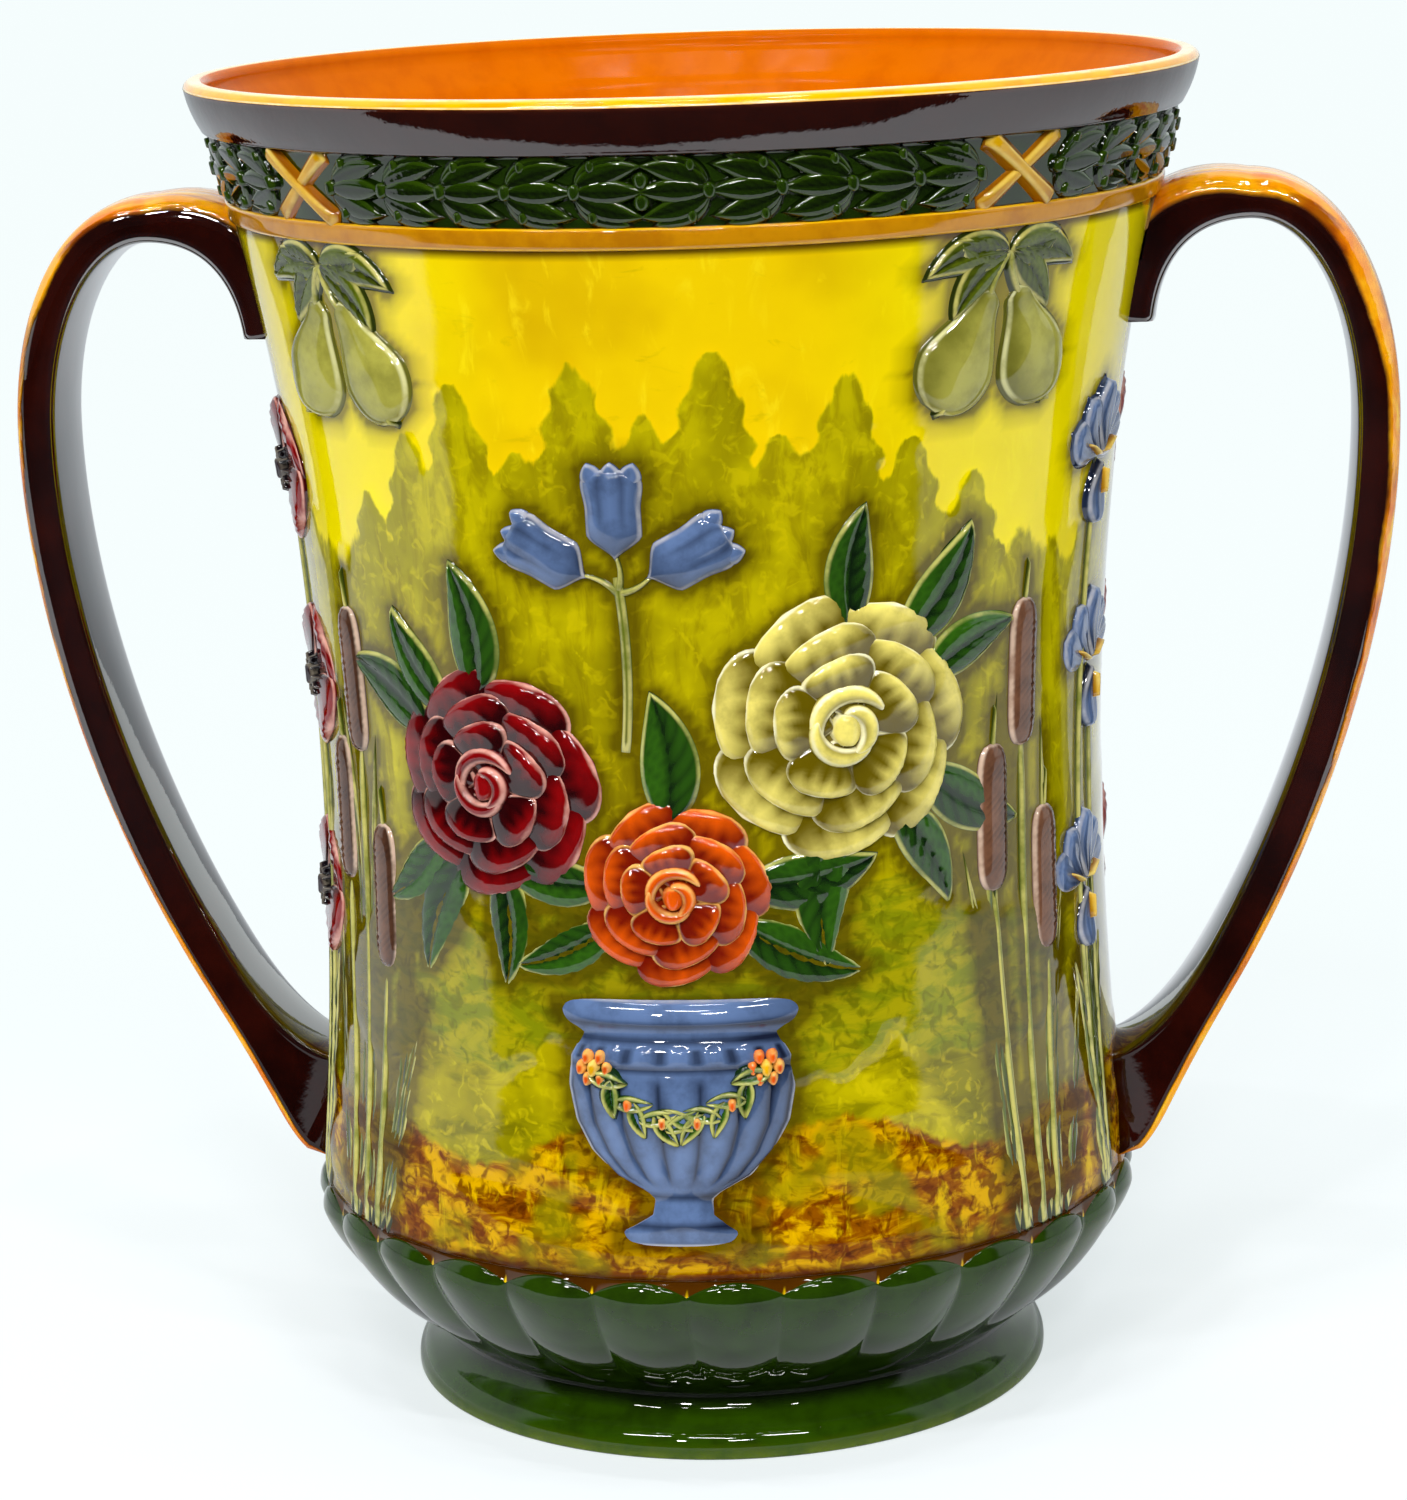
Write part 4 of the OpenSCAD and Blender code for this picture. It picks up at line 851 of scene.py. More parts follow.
def handle_glaze():
    """Treacle brown on the sides and inside, running thin and amber over the outer face and its edges."""
    material, vector = new_material("handle_glaze")
    tree = material.node_tree
    along = times(tree, mark(tree, "along"), STREAK_STRETCH)
    run = add(tree, "ShaderNodeCombineXYZ", {"X": mark(tree, "across"), "Y": along}).outputs[0]
    cloud = noise(tree, vector, 55.0, 4.0, 0.6, 0.3)
    strokes = noise(tree, run, 300.0, 4.0, 0.6, 0.3)
    brown = mixed(tree, soft_step(tree, cloud, 0.35, 0.7), srgb(*TREACLE), srgb(*TREACLE_DARK))
    amber = mixed(tree, soft_step(tree, cloud, 0.38, 0.64), srgb(*AMBER), srgb(*AMBER_DEEP))
    amber = mixed(tree, soft_step(tree, strokes, 0.50, 0.68, 0.0, 0.8), amber, srgb(*AMBER_PALE))
    amber = mixed(tree, soft_step(tree, strokes, 0.48, 0.32, 0.0, 0.85), amber, srgb(*AMBER_DARK))
    ragged = times(tree, maths(tree, "SUBTRACT", strokes, 0.5), 0.5)
    thin = soft_step(tree, maths(tree, "ADD", mark(tree, "outward"), ragged), 0.24, 0.52)
    runnels = times(tree, maths(tree, "ADD", strokes, cloud), times(tree, thin, RUNNEL_HEIGHT))
    return fired(material, mixed(tree, thin, brown, amber), vector, HANDLE_GLOSS, ridges=runnels,
                 ior=WASH_IOR, coat=mark(tree, "wet"), coat_ior=HANDLE_COAT_IOR)


def strap_handle(name, solid, side, arch_z, arch_thin, edge_thick):
    """A strap closed at both ends, with its glaze marks. The glaze is thinner above the two heights given."""
    points, faced, along, m = strap_points(side)
    n = (len(points) - 2) // m
    faces = [grid_faces(n, m)[:, ::-1], fan(n * m, 0, m), fan(n * m + 1, (n - 1) * m, m, True)]
    arch = smooth(points[:, 2], *arch_z)
    root = smooth(ROOT_GLAZE_Z - points[:, 2], 0, ROOT_GLAZE_FADE)
    load = arch_thin * arch - edge_thick * (1 - arch)
    outward = faced + load + root * (ROOT_THIN - load)
    wet = 1 - smooth(faced, -0.6, -0.1) * (1 - SIDE_WET * (1 - ROOT_DRY * root))
    return make_piece(name, solid, "brown_glaze", points, faces, [HANDLE], outward=outward, along=along * MM,
                      across=points[:, 1] * MM, wet=wet)


HANDLE = handle_glaze()
for label, glazing in HANDLES.items():
    made = strap_handle("strap_handle_" + label, "handle_" + label, *glazing)
    print("handle", label, "has", len(made.data.vertices), "points")

# %% [markdown]
# Leaves, petals, stems and fruit are all sprigs: small tongues of clay pressed in a mould and laid on the
# wall. Each is a spine with a width and a domed height, closed at the back just inside the wall. The marks
# say how near each point is to the sprig's edge, so that the glaze can break and pool there.

# %% Sprigs
EDGE_W, SEAT, BURIED = 1.7, -0.2, -0.7
POOL_W, POOL_H, POOL_DROP = 0.8, 0.34, 0.5
LEAST_HALF, END_POWER, END_INSET, BACK_SHARES = 0.03, 10, 0.2, (0.9, 0.0, -0.9)
LAID_SHARES = (0.0, 0.2, 0.4, 0.6, 0.8)
laid_points = []


def on_wall(angle, z, radius_at=wall_radius):
    """Lays (along, up, out) millimetres on a turned surface round a point at that angle and height."""
    def lay(p):
        height = z + p[:, 1]
        r = radius_at(height)
        turn = angle + p[:, 0] / r
        return np.stack([(r + p[:, 2]) * np.cos(turn), (r + p[:, 2]) * np.sin(turn), height], -1)
    return lay


def on_band(angle):
    """The same on the laurel band, up being measured from its middle."""
    return on_wall(angle, (LAUREL_Z + RIM_Z) / 2, band_radius)


def on_panel(angle, across, up):
    """The same round a point so far across from a panel's middle and up from the foot of the wall."""
    z = WALL_Z + up
    return on_wall(angle + across / float(wall_radius(z)), z)


def value_at(form, s, t):
    """A number, or a function of the shares along and across a sprig."""
    return form(s, t) if callable(form) else form + 0 * s * t


def tongue(spine, half, top, seat=SEAT, colour=0, tone=0.0, across=13):
    """One sprig: spine points (n, 2), half widths (n), and height over the wall as a number or a function of
    (along, across), as its darkening, mostly painted shade, is too. The edge falls to the seat as an ellipse
    does.
    A thin skirt where the glaze pools dark runs round it, and three points close the back inside the wall."""
    n, m = len(spine), across + 5
    s = np.linspace(0, 1, n)[:, None]
    t = np.sin(np.linspace(-np.pi / 2, np.pi / 2, across))[None, :]
    step = np.gradient(spine, axis=0)
    step /= np.linalg.norm(step, axis=1)[:, None] + 1e-9
    side = np.stack([step[:, 1], -step[:, 0]], -1)
    half = np.maximum(half, LEAST_HALF)[:, None]
    fall = rounded(t) * rounded(2 * s - 1, END_POWER)
    pool = seat if seat > 0 else POOL_H
    domed = np.maximum(seat + (value_at(top, s, t) - seat) * fall, pool)
    foot = np.full((n, 1), pool - POOL_DROP)
    out = np.concatenate([foot, domed, foot, np.full((n, 3), BURIED + min(seat, 0))], 1)
    skirt = half + POOL_W
    offset = np.concatenate([-skirt, half * t, skirt, skirt * np.array([BACK_SHARES])], 1)
    points = np.dstack([spine[:, None, :] + offset[..., None] * side[:, None, :], out])
    length = np.linalg.norm(np.diff(spine, axis=0), axis=1).sum()
    inset = np.minimum((1 - np.abs(t)) * half, np.minimum(s, 1 - s) * length + END_INSET)
    rim, load = np.ones((n, m)), np.zeros((n, m))
    rim[:, 1:across + 1] = 1 - np.clip(inset / EDGE_W, 0, 1)
    load[:, 1:across + 1] = np.clip(value_at(tone, s, t), 0, 1)
    ends = [points[0].mean(0) - np.r_[step[0] * POOL_W, 0], points[-1].mean(0) + np.r_[step[-1] * POOL_W, 0]]
    caps = np.concatenate([fan(n * m, 0, m, True), fan(n * m + 1, (n - 1) * m, m)])
    return {"points": np.vstack([points.reshape(-1, 3), ends]), "quads": grid_faces(n, m), "caps": caps,
            "rim": np.r_[rim.ravel(), 1, 1], "tone": np.r_[load.ravel(), 0, 0], "colour": colour}


def sprig(name, solid, slot, tongues, lay, glazes):
    """Joins tongues into one piece on the wall, and notes where on the wall it lies."""
    starts = np.cumsum([0] + [len(b["points"]) for b in tongues])
    points = lay(np.vstack([b["points"] for b in tongues]))
    faces, colours = [], []
    for kind in ("quads", "caps"):
        faces.append(np.vstack([b[kind] + o for b, o in zip(tongues, starts)]))
        colours += [np.full(len(b[kind]), b["colour"]) for b in tongues]
    corner = points[faces[0]]
    for i in (0, 1):
        laid_points.extend(corner[:, i] + f * (corner[:, i + 1] - corner[:, i]) for f in LAID_SHARES)
    rim, tone = (np.concatenate([b[label] for b in tongues]) for label in ("rim", "tone"))
    return make_piece(name, solid, slot, points, faces, glazes, np.concatenate(colours), rim=rim, tone=tone)


def on_panels(piece, solid, slot, tongues, glazes, at=(0, 0), turn=0.0, end=""):
    """Lays the same sprig on the front and the back, at a place across and up, or turned from the middle."""
    for label, angle in PANELS.items():
        lay, place = on_panel(angle + turn, *at), "_" + label + end
        sprig(piece + place, solid + place, slot, tongues, lay, glazes)


print("sprig helpers ready")

# %% [markdown]
# A few forms of tongue come again and again: a straight or bowed spine, a petal, a leaf with veins, a stem
# and a berry. The painted shade on a petal or a fruit is always a sum of the same three parts.

# %% Leaves, petals, stems and berries
BERRY_R, STEM_TONE, VEINS, VEIN_SLANT = 1.5, 0.15, 7, 1.6


def line(start, end, count=14, bow=0.0):
    """A spine from start to end that bows sideways by a share of its length."""
    start, end = np.asarray(start, float), np.asarray(end, float)
    s = np.linspace(0, 1, count)[:, None]
    d = end - start
    return start + s * d + bow * 4 * s * (1 - s) * np.array([d[1], -d[0]])


def ray(turn, start, end, middle=(0, 0)):
    """Two points on a ray from a middle, at a turn in degrees from straight right."""
    d = np.array([np.cos(np.radians(turn)), np.sin(np.radians(turn))])
    return np.asarray(middle) + start * d, np.asarray(middle) + end * d


def shade(base=(0.0, 0.0, 1.0), side=(0.0, 0.0, 1.0), folds=(0.0, 1, 0.0, 1.0)):
    """Painted shade over a petal or a fruit: dark at the base, fading along; dark on one side, growing across;
    and dark in folds. Each gives an amount and the two shares between which it changes. Folds also give, in the
    second place, a count of waves across, negative for dark between the crests."""
    def load(s, t):
        waves = np.clip(np.sign(folds[1]) * np.cos(folds[1] * np.pi * t), 0, 1) * (1 - smooth(s, *folds[2:]))
        return base[0] * (1 - smooth(s, *base[1:])) + side[0] * smooth(t, *side[1:]) + folds[0] * waves
    return load


def petal(spine, width, widest, blunt, top, seat=SEAT, tone=0.0, across=11, colour=0):
    """A tongue with no width at either end, and its full width at the share of its length called widest."""
    s = np.linspace(0, 1, len(spine))
    half = width / 2 * np.clip(np.sin(np.pi * s ** (np.log(0.5) / np.log(widest))), 0, 1) ** blunt
    return tongue(spine, half, top, seat, colour, tone, across)


def leaf(start, end, width, rise=1.3, bow=0.06, colour=0, tone=0.0, seat=SEAT, widest=0.42, crisp=1.0):
    """A leaf with a sunk midrib and side veins that slant to the tip; less crisp where glaze floods it."""
    def veins(s, t):
        return np.cos(2 * np.pi * (VEINS * s - VEIN_SLANT * np.abs(t)))

    def top(s, t):
        rib = 0.45 * np.exp(-(t / 0.13) ** 2)
        return rise * (1 - 0.25 * crisp + 0.35 * crisp * np.abs(t)) + crisp * (0.12 * veins(s, t) - rib)

    # Painted shade: one half of the leaf and its stalk end are darker; the midrib and veins are dark lines.
    def load(s, t):
        rib = 0.75 * np.exp(-(t / 0.16) ** 2)
        lines = 0.30 * np.clip(veins(s, t), 0, 1) * (np.abs(t) < 0.8)
        return tone + rib + lines + 0.35 * (t > 0) + 0.4 * (1 - smooth(s, 0.0, 0.3))

    return petal(line(start, end, 22, bow), width, widest, 0.8, top, seat, load, 15, colour)


def stem(spine, width=2.0, rise=1.2, colour=0, taper=0.5, seat=SEAT):
    """A stem along a spine, thinner at its end."""
    return tongue(spine, width / 2 * np.linspace(1, taper, len(spine)), rise, seat, colour, STEM_TONE, 9)


def berry(u, v, radius=BERRY_R, rise=1.9, colour=0):
    """A small dome."""
    half = radius * rounded(np.linspace(-1, 1, 11))
    return tongue(line((u, v - radius), (u, v + radius), 11), half, rise, SEAT, colour, 0.0, 11)


print("forms of tongue:", [form.__name__ for form in (petal, leaf, stem, berry)])

# %% [markdown]
# The laurel wreath runs round the band in four strips between crossed ribbons. Leaves lie in bundles that
# point to the middle of each strip, in two layers so that they overlap, with berries between the bundles.

# %% Laurel and ribbons
LAUREL_L, LAUREL_W, BUNDLES, STRIP_HALF = 13.0, 4.6, 5, np.radians(39.3)
BUNDLE = ((-42, 1.0), (42, 1.0), (-21, 1.35), (21, 1.35), (0, 1.7))
BAND_R = float(band_radius((LAUREL_Z + RIM_Z) / 2))
RIBBON_END = np.array([8.2, (RIM_Z - LAUREL_Z) / 2 - 0.2])
STRIPS = {"front": FRONT, "right": RIGHT, "back": BACK, "left": LEFT}
RIBBONS = {"front_right": -45, "back_right": 45, "back_left": 135, "front_left": -135}


def laurel_strip():
    """Two layers of leaf bundles on each half of a strip, and berries."""
    half_run = STRIP_HALF * BAND_R
    step = (half_run - 1.5) / (BUNDLES - 0.15)
    tongues = [stem(line((-half_run, 0), (half_run, 0), 60), 1.6, 0.9, taper=1.0)]
    for side in (-1, 1):
        for i in range(BUNDLES):
            u = side * (half_run - step * i - 0.5)
            reach = min(LAUREL_L, abs(u) + 1.5)
            for turn, rise in BUNDLE:
                a, lean = np.radians(turn), np.sign(turn)
                tip = (u - side * reach * np.cos(a) * 0.98, np.clip(reach * np.sin(a) * 0.95, -5.9, 5.9))
                # The lower layer of leaves is painted a little darker, as shade under the upper layer.
                tongues.append(leaf((u, 0.9 * lean), tip, LAUREL_W, 0.9 * rise, 0.05 * lean * side,
                                    tone=0.2 * (rise < 1.2), seat=0.2, crisp=0.2))
            tongues += [berry(u - side * 3.0, v, 1.1, 1.5) for v in (-4.4, 4.4)]
            tongues.append(berry(u, 0))
    return tongues + [berry(0, v) for v in (-1.9, 1.9)]


def ribbon_cross():
    """Two straps that cross, the second over the first, each spreading to its ends with a rolled edge."""
    half = 1.2 + 0.4 * np.linspace(-1, 1, 26) ** 2
    load = shade((0.5, 0.0, 0.45), (0.6, 0.2, 0.9))
    straps = []
    for lean, rise, seat in ((1, 1.2, SEAT), (-1, 1.8, 0.5)):
        def rolled(s, t, rise=rise):
            return rise + 0.3 * np.abs(t) ** 3 - 0.06 * np.cos(2 * np.pi * t)
        end = RIBBON_END * (lean, 1)
        straps.append(tongue(line(-end, end, 26), half, rolled, seat, 0, load, 13))
    return straps


wreath, cross = laurel_strip(), ribbon_cross()
for label, angle in STRIPS.items():
    sprig("laurel_wreath_" + label, "laurel_" + label, "laurel_glaze", wreath, on_band(angle), [LAUREL])
for label, angle in RIBBONS.items():
    lay = on_band(np.radians(angle))
    sprig("crossed_ribbon_" + label, "ribbon_" + label, "ribbon_glaze", cross, lay, [RIBBON])
print("laurel:", len(STRIPS), "strips and", len(RIBBONS), "ribbon crosses")

# %% [markdown]
# In the middle of each panel stands a fluted urn. Its outline is turned like a pot's, and its height over the
# wall swells like one too, with flutes down the body, a bead line under the lip and a leaf swag hung across.

# %% Urn
URN_UP, URN_H, FLUTES, BEADS = 6.0, 46.0, 9, 20
URN_OUTLINE = [(0, 11.8), (2.8, 12.0), (4.0, 9.6), (6.0, 6.4), (9.0, 5.9), (10.3, 7.4), (13.2, 12.8),
               (17.5, 17.0), (23, 19.8), (29.5, 21.0), (35, 20.6), (37.6, 19.2), (39.4, 19.0), (41.2, 21.6),
               (43.2, 22.9), (46, 23.0)]
URN_RINGS = (4.0, 9.6, 33.4, 38.6, 41.4)
SWAG_HALF, SWAG_TOP, SWAG_SAG, SWAG_SEAT, SWAG_LEAVES, SWAG_LEAN = 15.0, 33.5, 10.0, 3.4, 14, 38


def urn_body():
    """An upright spine whose half width is the urn's outline; flutes and beads are waves across it."""
    v = np.linspace(0, URN_H, 92)
    half = np.interp(v, *np.transpose(URN_OUTLINE))

    def forms(s, t):
        """Height up the urn, where it is fluted, the flutes, the row of beads and their wave."""
        up, turn = s * URN_H, np.arcsin(np.clip(t, -1, 1))
        body = smooth(up, 10, 14) * smooth(33 - up, 0, 3)
        bead_row = smooth(up, 34, 35) * smooth(37.6 - up, 0, 0.8)
        return up, body, body * np.abs(np.cos(FLUTES * turn)) ** 0.6, bead_row, np.cos(BEADS * turn)

    def top(s, t):
        up, _, flutes, bead_row, beads = forms(s, t)
        swell = 1.8 + 2.0 * smooth(up, 9, 28) - 1.1 * smooth(up, 36, 39.5) + 1.0 * smooth(up, 40, 42)
        groove = 0.3 * np.exp(-((up - 33.2) / 0.7) ** 2)
        return swell + 0.55 * flutes + 0.5 * np.clip(beads, 0, 1) * bead_row - groove

    # Painted shade: dark in the troughs of the flutes, between the beads and down one side; the rings are dark
    # lines.
    def load(s, t):
        up, body, flutes, bead_row, beads = forms(s, t)
        rings = sum(np.exp(-((up - ring) / 0.8) ** 2) for ring in URN_RINGS)
        between = np.clip(-beads, 0, 1) * bead_row
        return 0.9 * body * (1 - flutes) + 0.8 * rings + 0.8 * between + 0.45 * smooth(t, 0.2, 1)

    return tongue(np.stack([0 * v, v], -1), half, top, tone=load, across=91)


def swag_v(u):
    """Height of the swag, a parabola hung from its two ends."""
    return SWAG_TOP - SWAG_SAG * (1 - (u / SWAG_HALF) ** 2)


def urn_swag():
    """Leaves along a hanging arc over the body, with a rosette of berries at each end."""
    tongues = []
    for i in range(SWAG_LEAVES):
        u = SWAG_HALF * (2 * (i + 0.5) / SWAG_LEAVES - 1)
        slope = np.degrees(np.arctan(2 * SWAG_SAG * u / SWAG_HALF ** 2))
        turn = slope + SWAG_LEAN * (-1) ** i + (0 if u < 0 else 180)
        tongues.append(leaf(*ray(turn, -2.0, 5.4, (u, swag_v(u))), 3.4, 5.0, 0.05, 1, seat=SWAG_SEAT))
    for u in (-SWAG_HALF, SWAG_HALF):
        for turn in range(0, 360, 60):
            tongues.append(berry(*ray(turn, 0, 2.3, (u, SWAG_TOP))[1], 1.3, 4.6, 2))
        tongues.append(berry(u, SWAG_TOP, 1.5, 5.2, 3))
    return tongues + [berry(u, swag_v(u), 1.25, 5.2, 2) for u in (-9, -3, 3, 9)]


on_panels("fluted_urn", "urn", "blue_grey_glaze", [urn_body(), *urn_swag()],
          [BLUE_GREY, LEAF, ORANGE, HEART], (0, URN_UP))
print("urns:", len(PANELS), "with", FLUTES, "flutes and", SWAG_LEAVES, "leaves of swag")

# %% [markdown]
# The roses are rings of broad petals, each ring higher and smaller than the last, round a rolled heart. The
# outer petals lie back on the wall with turned lips, which is where the glaze breaks palest.

# %% Roses
ROSES = {
    "orange_rose": ((0, 71), 17.0, "orange_glaze", ORANGE),
    "crimson_rose": ((-34, 90), 21.0, "crimson_glaze", CRIMSON),
    "cream_rose": ((31, 100), 24.0, "cream_glaze", CREAM),
}
ROSE_RINGS = [(7, 0.22, 1.0, 0.95, 1.9, SEAT, 0.0), (6, 0.14, 0.78, 0.80, 3.0, 0.6, 0.5),
              (5, 0.08, 0.56, 0.60, 3.9, 1.5, 0.2)]
HEART_ROLLS = ((20, 0.30, 4.2), (150, 0.25, 4.6), (275, 0.18, 4.9))
ROLL_SWEEP, ROLL_IN, ROLL_SEAT, ROSE_TURN = 190, 0.72, 2.6, 14


def rose_petal(radius, turn, start, end, width, rise, seat):
    """A broad petal with a turned-up lip and a shallow trough down its middle."""
    def top(s, t):
        lip = 0.9 * smooth(s, 0.35, 0.92)
        return rise - 0.7 + lip + 0.35 * np.abs(t) ** 2 + 0.12 * np.cos(5 * np.pi * t) * s
    load = shade((0.95, 0.48, 0.98), (0.35, 0.1, 0.9), (0.40, 5, 0.6, 1.0))
    spine = line(*ray(turn, start * radius, end * radius), 20, 0.05)
    return petal(spine, width * radius, 0.66, 0.55, top, seat, load, 17)


def rose_heart(radius):
    """Three rolled petals, as arcs that wind inwards, round a bud."""
    rolls = []
    for start, out, rise in HEART_ROLLS:
        a = np.radians(np.linspace(start, start + ROLL_SWEEP, 20))
        winding = radius * np.linspace(out, out * ROLL_IN, 20)[:, None]
        spine = np.stack([np.cos(a), np.sin(a)], -1) * winding
        rolls.append(petal(spine, 0.16 * radius, 0.5, 0.5, rise, ROLL_SEAT, shade(side=(0.8, 0.2, -0.7))))
    return rolls + [berry(0, 0, 0.14 * radius, 4.8)]


def rose(radius):
    """Rings of petals and a heart."""
    tongues = []
    for count, *size, offset in ROSE_RINGS:
        turns = (np.arange(count) + offset) * 360 / count + ROSE_TURN
        tongues += [rose_petal(radius, turn, *size) for turn in turns]
    return tongues + rose_heart(radius)


for kind, (at, radius, slot, material) in ROSES.items():
    on_panels(kind + "_bloom", kind, slot, rose(radius), [material], at)
print("roses:", len(ROSES) * len(PANELS))

# %% [markdown]
# Rose leaves fill the gaps round the blooms. They spring from under the petals, some tucked low between two
# blooms, so the bouquet reads as one bunch.

# %% Rose leaves
LEAF_TURNS = {"crimson_rose": (100, 126, 152, 222, 246, 272), "cream_rose": (-95, -60, -30, 22, 52, 82),
              "orange_rose": (95, 172, 8, 205, -25)}
LEAF_FROM, LEAF_SIZES = 0.72, ((20.5, 11.0), (17.0, 9.5))


def rose_leaves():
    """Leaves round each bloom, long and short by turns, laid out flat over the wall."""
    tongues = []
    for kind, turns in LEAF_TURNS.items():
        at, radius = ROSES[kind][:2]
        for i, turn in enumerate(turns):
            reach, width = LEAF_SIZES[i % 2]
            ends = ray(turn, LEAF_FROM * radius, radius + reach, at)
            tongues.append(leaf(*ends, width, 1.7, 0.08 * (-1) ** i, tone=0.1 * (i % 3)))
    return tongues


on_panels("rose_foliage", "rose_leaves", "leaf_glaze", rose_leaves(), [LEAF])
print("rose leaves:", sum(len(t) for t in LEAF_TURNS.values()), "a panel")

# %% [markdown]
# Bellflowers nod above the roses on a branching stem. A bell is a tongue that is narrow at the stalk, swells
# and flares at the mouth, with ribs that run down to its points.

# %% Bellflowers
BELLS_AT, BELL_L, BELL_STEM, BELL_STALK = (-8, 126), 17.0, 29.0, 5.6
BELL_TURNS = (-62, 0, 62)
POINT_L, POINT_ASIDE, POINT_SPREAD, POINT_FROM = 4.2, 3.0, 16, 0.82


def bell(turn):
    """A bell on a ray from the middle; its mouth ends in three points."""
    start, end = ray(turn, BELL_STALK, BELL_STALK + BELL_L)
    run = end - start
    aside = np.array([run[1], -run[0]]) / BELL_L
    s = np.linspace(0, 1, 26)
    flare = 0.30 * smooth(s, 0.0, 0.3) + 0.06 * smooth(s, 0.55, 0.95)
    half = BELL_L * flare * rounded(s, 14)

    def top(s, t):
        return 1.4 + 1.0 * smooth(s, 0.05, 0.45) + 0.3 * np.cos(3 * np.pi * t) * smooth(s, 0.3, 0.9)

    def sloping(s, t):
        return 2.0 - 0.5 * s + 0 * t

    tongues = []
    for side in (-1, 0, 1):
        at = start + run * POINT_FROM + side * POINT_ASIDE * aside
        spine = line(*ray(turn - POINT_SPREAD * side, 0, POINT_L, at))
        tongues.append(petal(spine, POINT_L, 0.4, 0.7, sloping))
    load = shade((0.7, 0.0, 0.45), (0.35, 0.2, 0.9), (0.5, -3, 0.6, 0.2))
    return [*tongues, tongue(line(start, end, 26), half, top, SEAT, 0, load, 17)]


def bellflowers():
    """Three bells and their stalks."""
    tongues = [stem(line((0, -BELL_STEM), (0, 3), 16, 0.03), 2.0, 1.2, 1, 1.0)]
    for turn in BELL_TURNS:
        tongues.append(stem(line(*ray(90 - turn, 0, 7), 10, 0.1), 1.6, 1.2, 1))
        tongues += bell(90 - turn)
    return tongues


on_panels("bellflower_spray", "bellflowers", "blue_grey_glaze", bellflowers(), [BLUE_GREY, STEM], BELLS_AT)
print("bellflowers:", len(BELL_TURNS), "bells a panel")

# %% [markdown]
# Bulrushes stand on both sides of the bouquet: brown velvet heads on straight stems with a spike above, and
# long blades that bend away.

# %% Bulrushes
SIDES = {"left": -1, "right": 1}
STAND_UP, STEM_DOWN = 0.6, -0.5
RUSH_H, RUSH_L, RUSH_W, RUSH_ANGLE = 118.0, 28.0, 8.0, np.radians(54)
RUSH_PLACES = ((-8.0, 0.78), (0.0, 1.0), (7.0, 0.66))
RUSH_BLADES = ((-10, -9, 0.62), (-5, -3, 0.86), (3, 5, 0.80), (8, 10, 0.55), (11, 13, 0.40))


def rush_head(u, top_v):
    """A round-ended head with a pricked, velvety skin."""
    half = RUSH_W / 2 * rounded(np.linspace(-1, 1, 40), 7)

    def pricks(s, t):
        return np.cos(34 * np.pi * s) * np.cos(5 * np.pi * t)

    def velvet(s, t):
        return 2.1 + 0.16 * pricks(s, t)

    # Painted shade down one side of the head, with dark pricks in its skin.
    def load(s, t):
        return 0.75 * smooth(t, -0.1, 0.9) + 0.35 * np.clip(-pricks(s, t), 0, 1)

    return tongue(line((u, top_v - RUSH_L), (u, top_v), 40), half, velvet, SEAT, 0, load, 17)


def bulrushes(lean):
    """Three heads, their stems and spikes, and five blades."""
    tongues = []
    for i, (u, bend, share) in enumerate(RUSH_BLADES):
        start, end = (u * 0.7, STEM_DOWN), (u + bend * 0.6, RUSH_H * share)
        bow = 0.03 * (-1) ** i * lean
        tongues.append(leaf(start, end, 4.2, 0.9, bow, 1, 0.1 * (i % 2), widest=0.35))
    for u, share in RUSH_PLACES:
        top_v = RUSH_H * share
        tongues.append(stem(line((u * 0.6, STEM_DOWN), (u, top_v - RUSH_L + 1), 30), 2.0, 1.3, 1, 0.9))
        tongues.append(stem(line((u, top_v - 1), (u + 0.4 * lean, top_v + 7), 10), 1.3, 1.1, 1, 0.3))
        tongues.append(rush_head(u, top_v))
    return tongues


for side, sign in SIDES.items():
    on_panels("bulrush_clump", "bulrushes", "rush_glaze", bulrushes(sign), [RUSH, STEM], (0, STAND_UP),
              sign * RUSH_ANGLE, "_" + side)
print("bulrushes:", len(PANELS) * len(SIDES), "clumps")

# %% [markdown]
# Poppies climb beside one handle and irises beside the other. A poppy has four crinkled petals and a dark
# ribbed pod; an iris has petals that stand and petals that fall, some with a yellow beard.

# %% Poppies and irises
BLOOM_H, POPPY_R, IRIS_L, BLOOM_ANGLE = 140.0, 13.0, 13.5, np.radians(73)
BLOOM_PLACES = ((-1.5, 0.42), (1.5, 0.72), (-1.0, 1.0))
SWORD_LEAVES = ((-8, 0.33, 0.06), (8, 0.35, -0.06), (-5, 0.52, 0.03), (5, 0.60, -0.03))
POPPY_PETALS = ((45, 1.5, SEAT), (225, 1.5, SEAT), (135, 2.2, 0.3), (315, 2.2, 0.3))
IRIS_PETALS = ((25, 1.0, 1.4, SEAT, True), (155, 1.0, 1.4, SEAT, True), (58, 1.0, 1.7, 0.0, False),
               (122, 1.0, 1.7, 0.0, False), (90, 1.08, 2.3, 0.4, False), (270, 0.95, 2.3, 0.4, True))


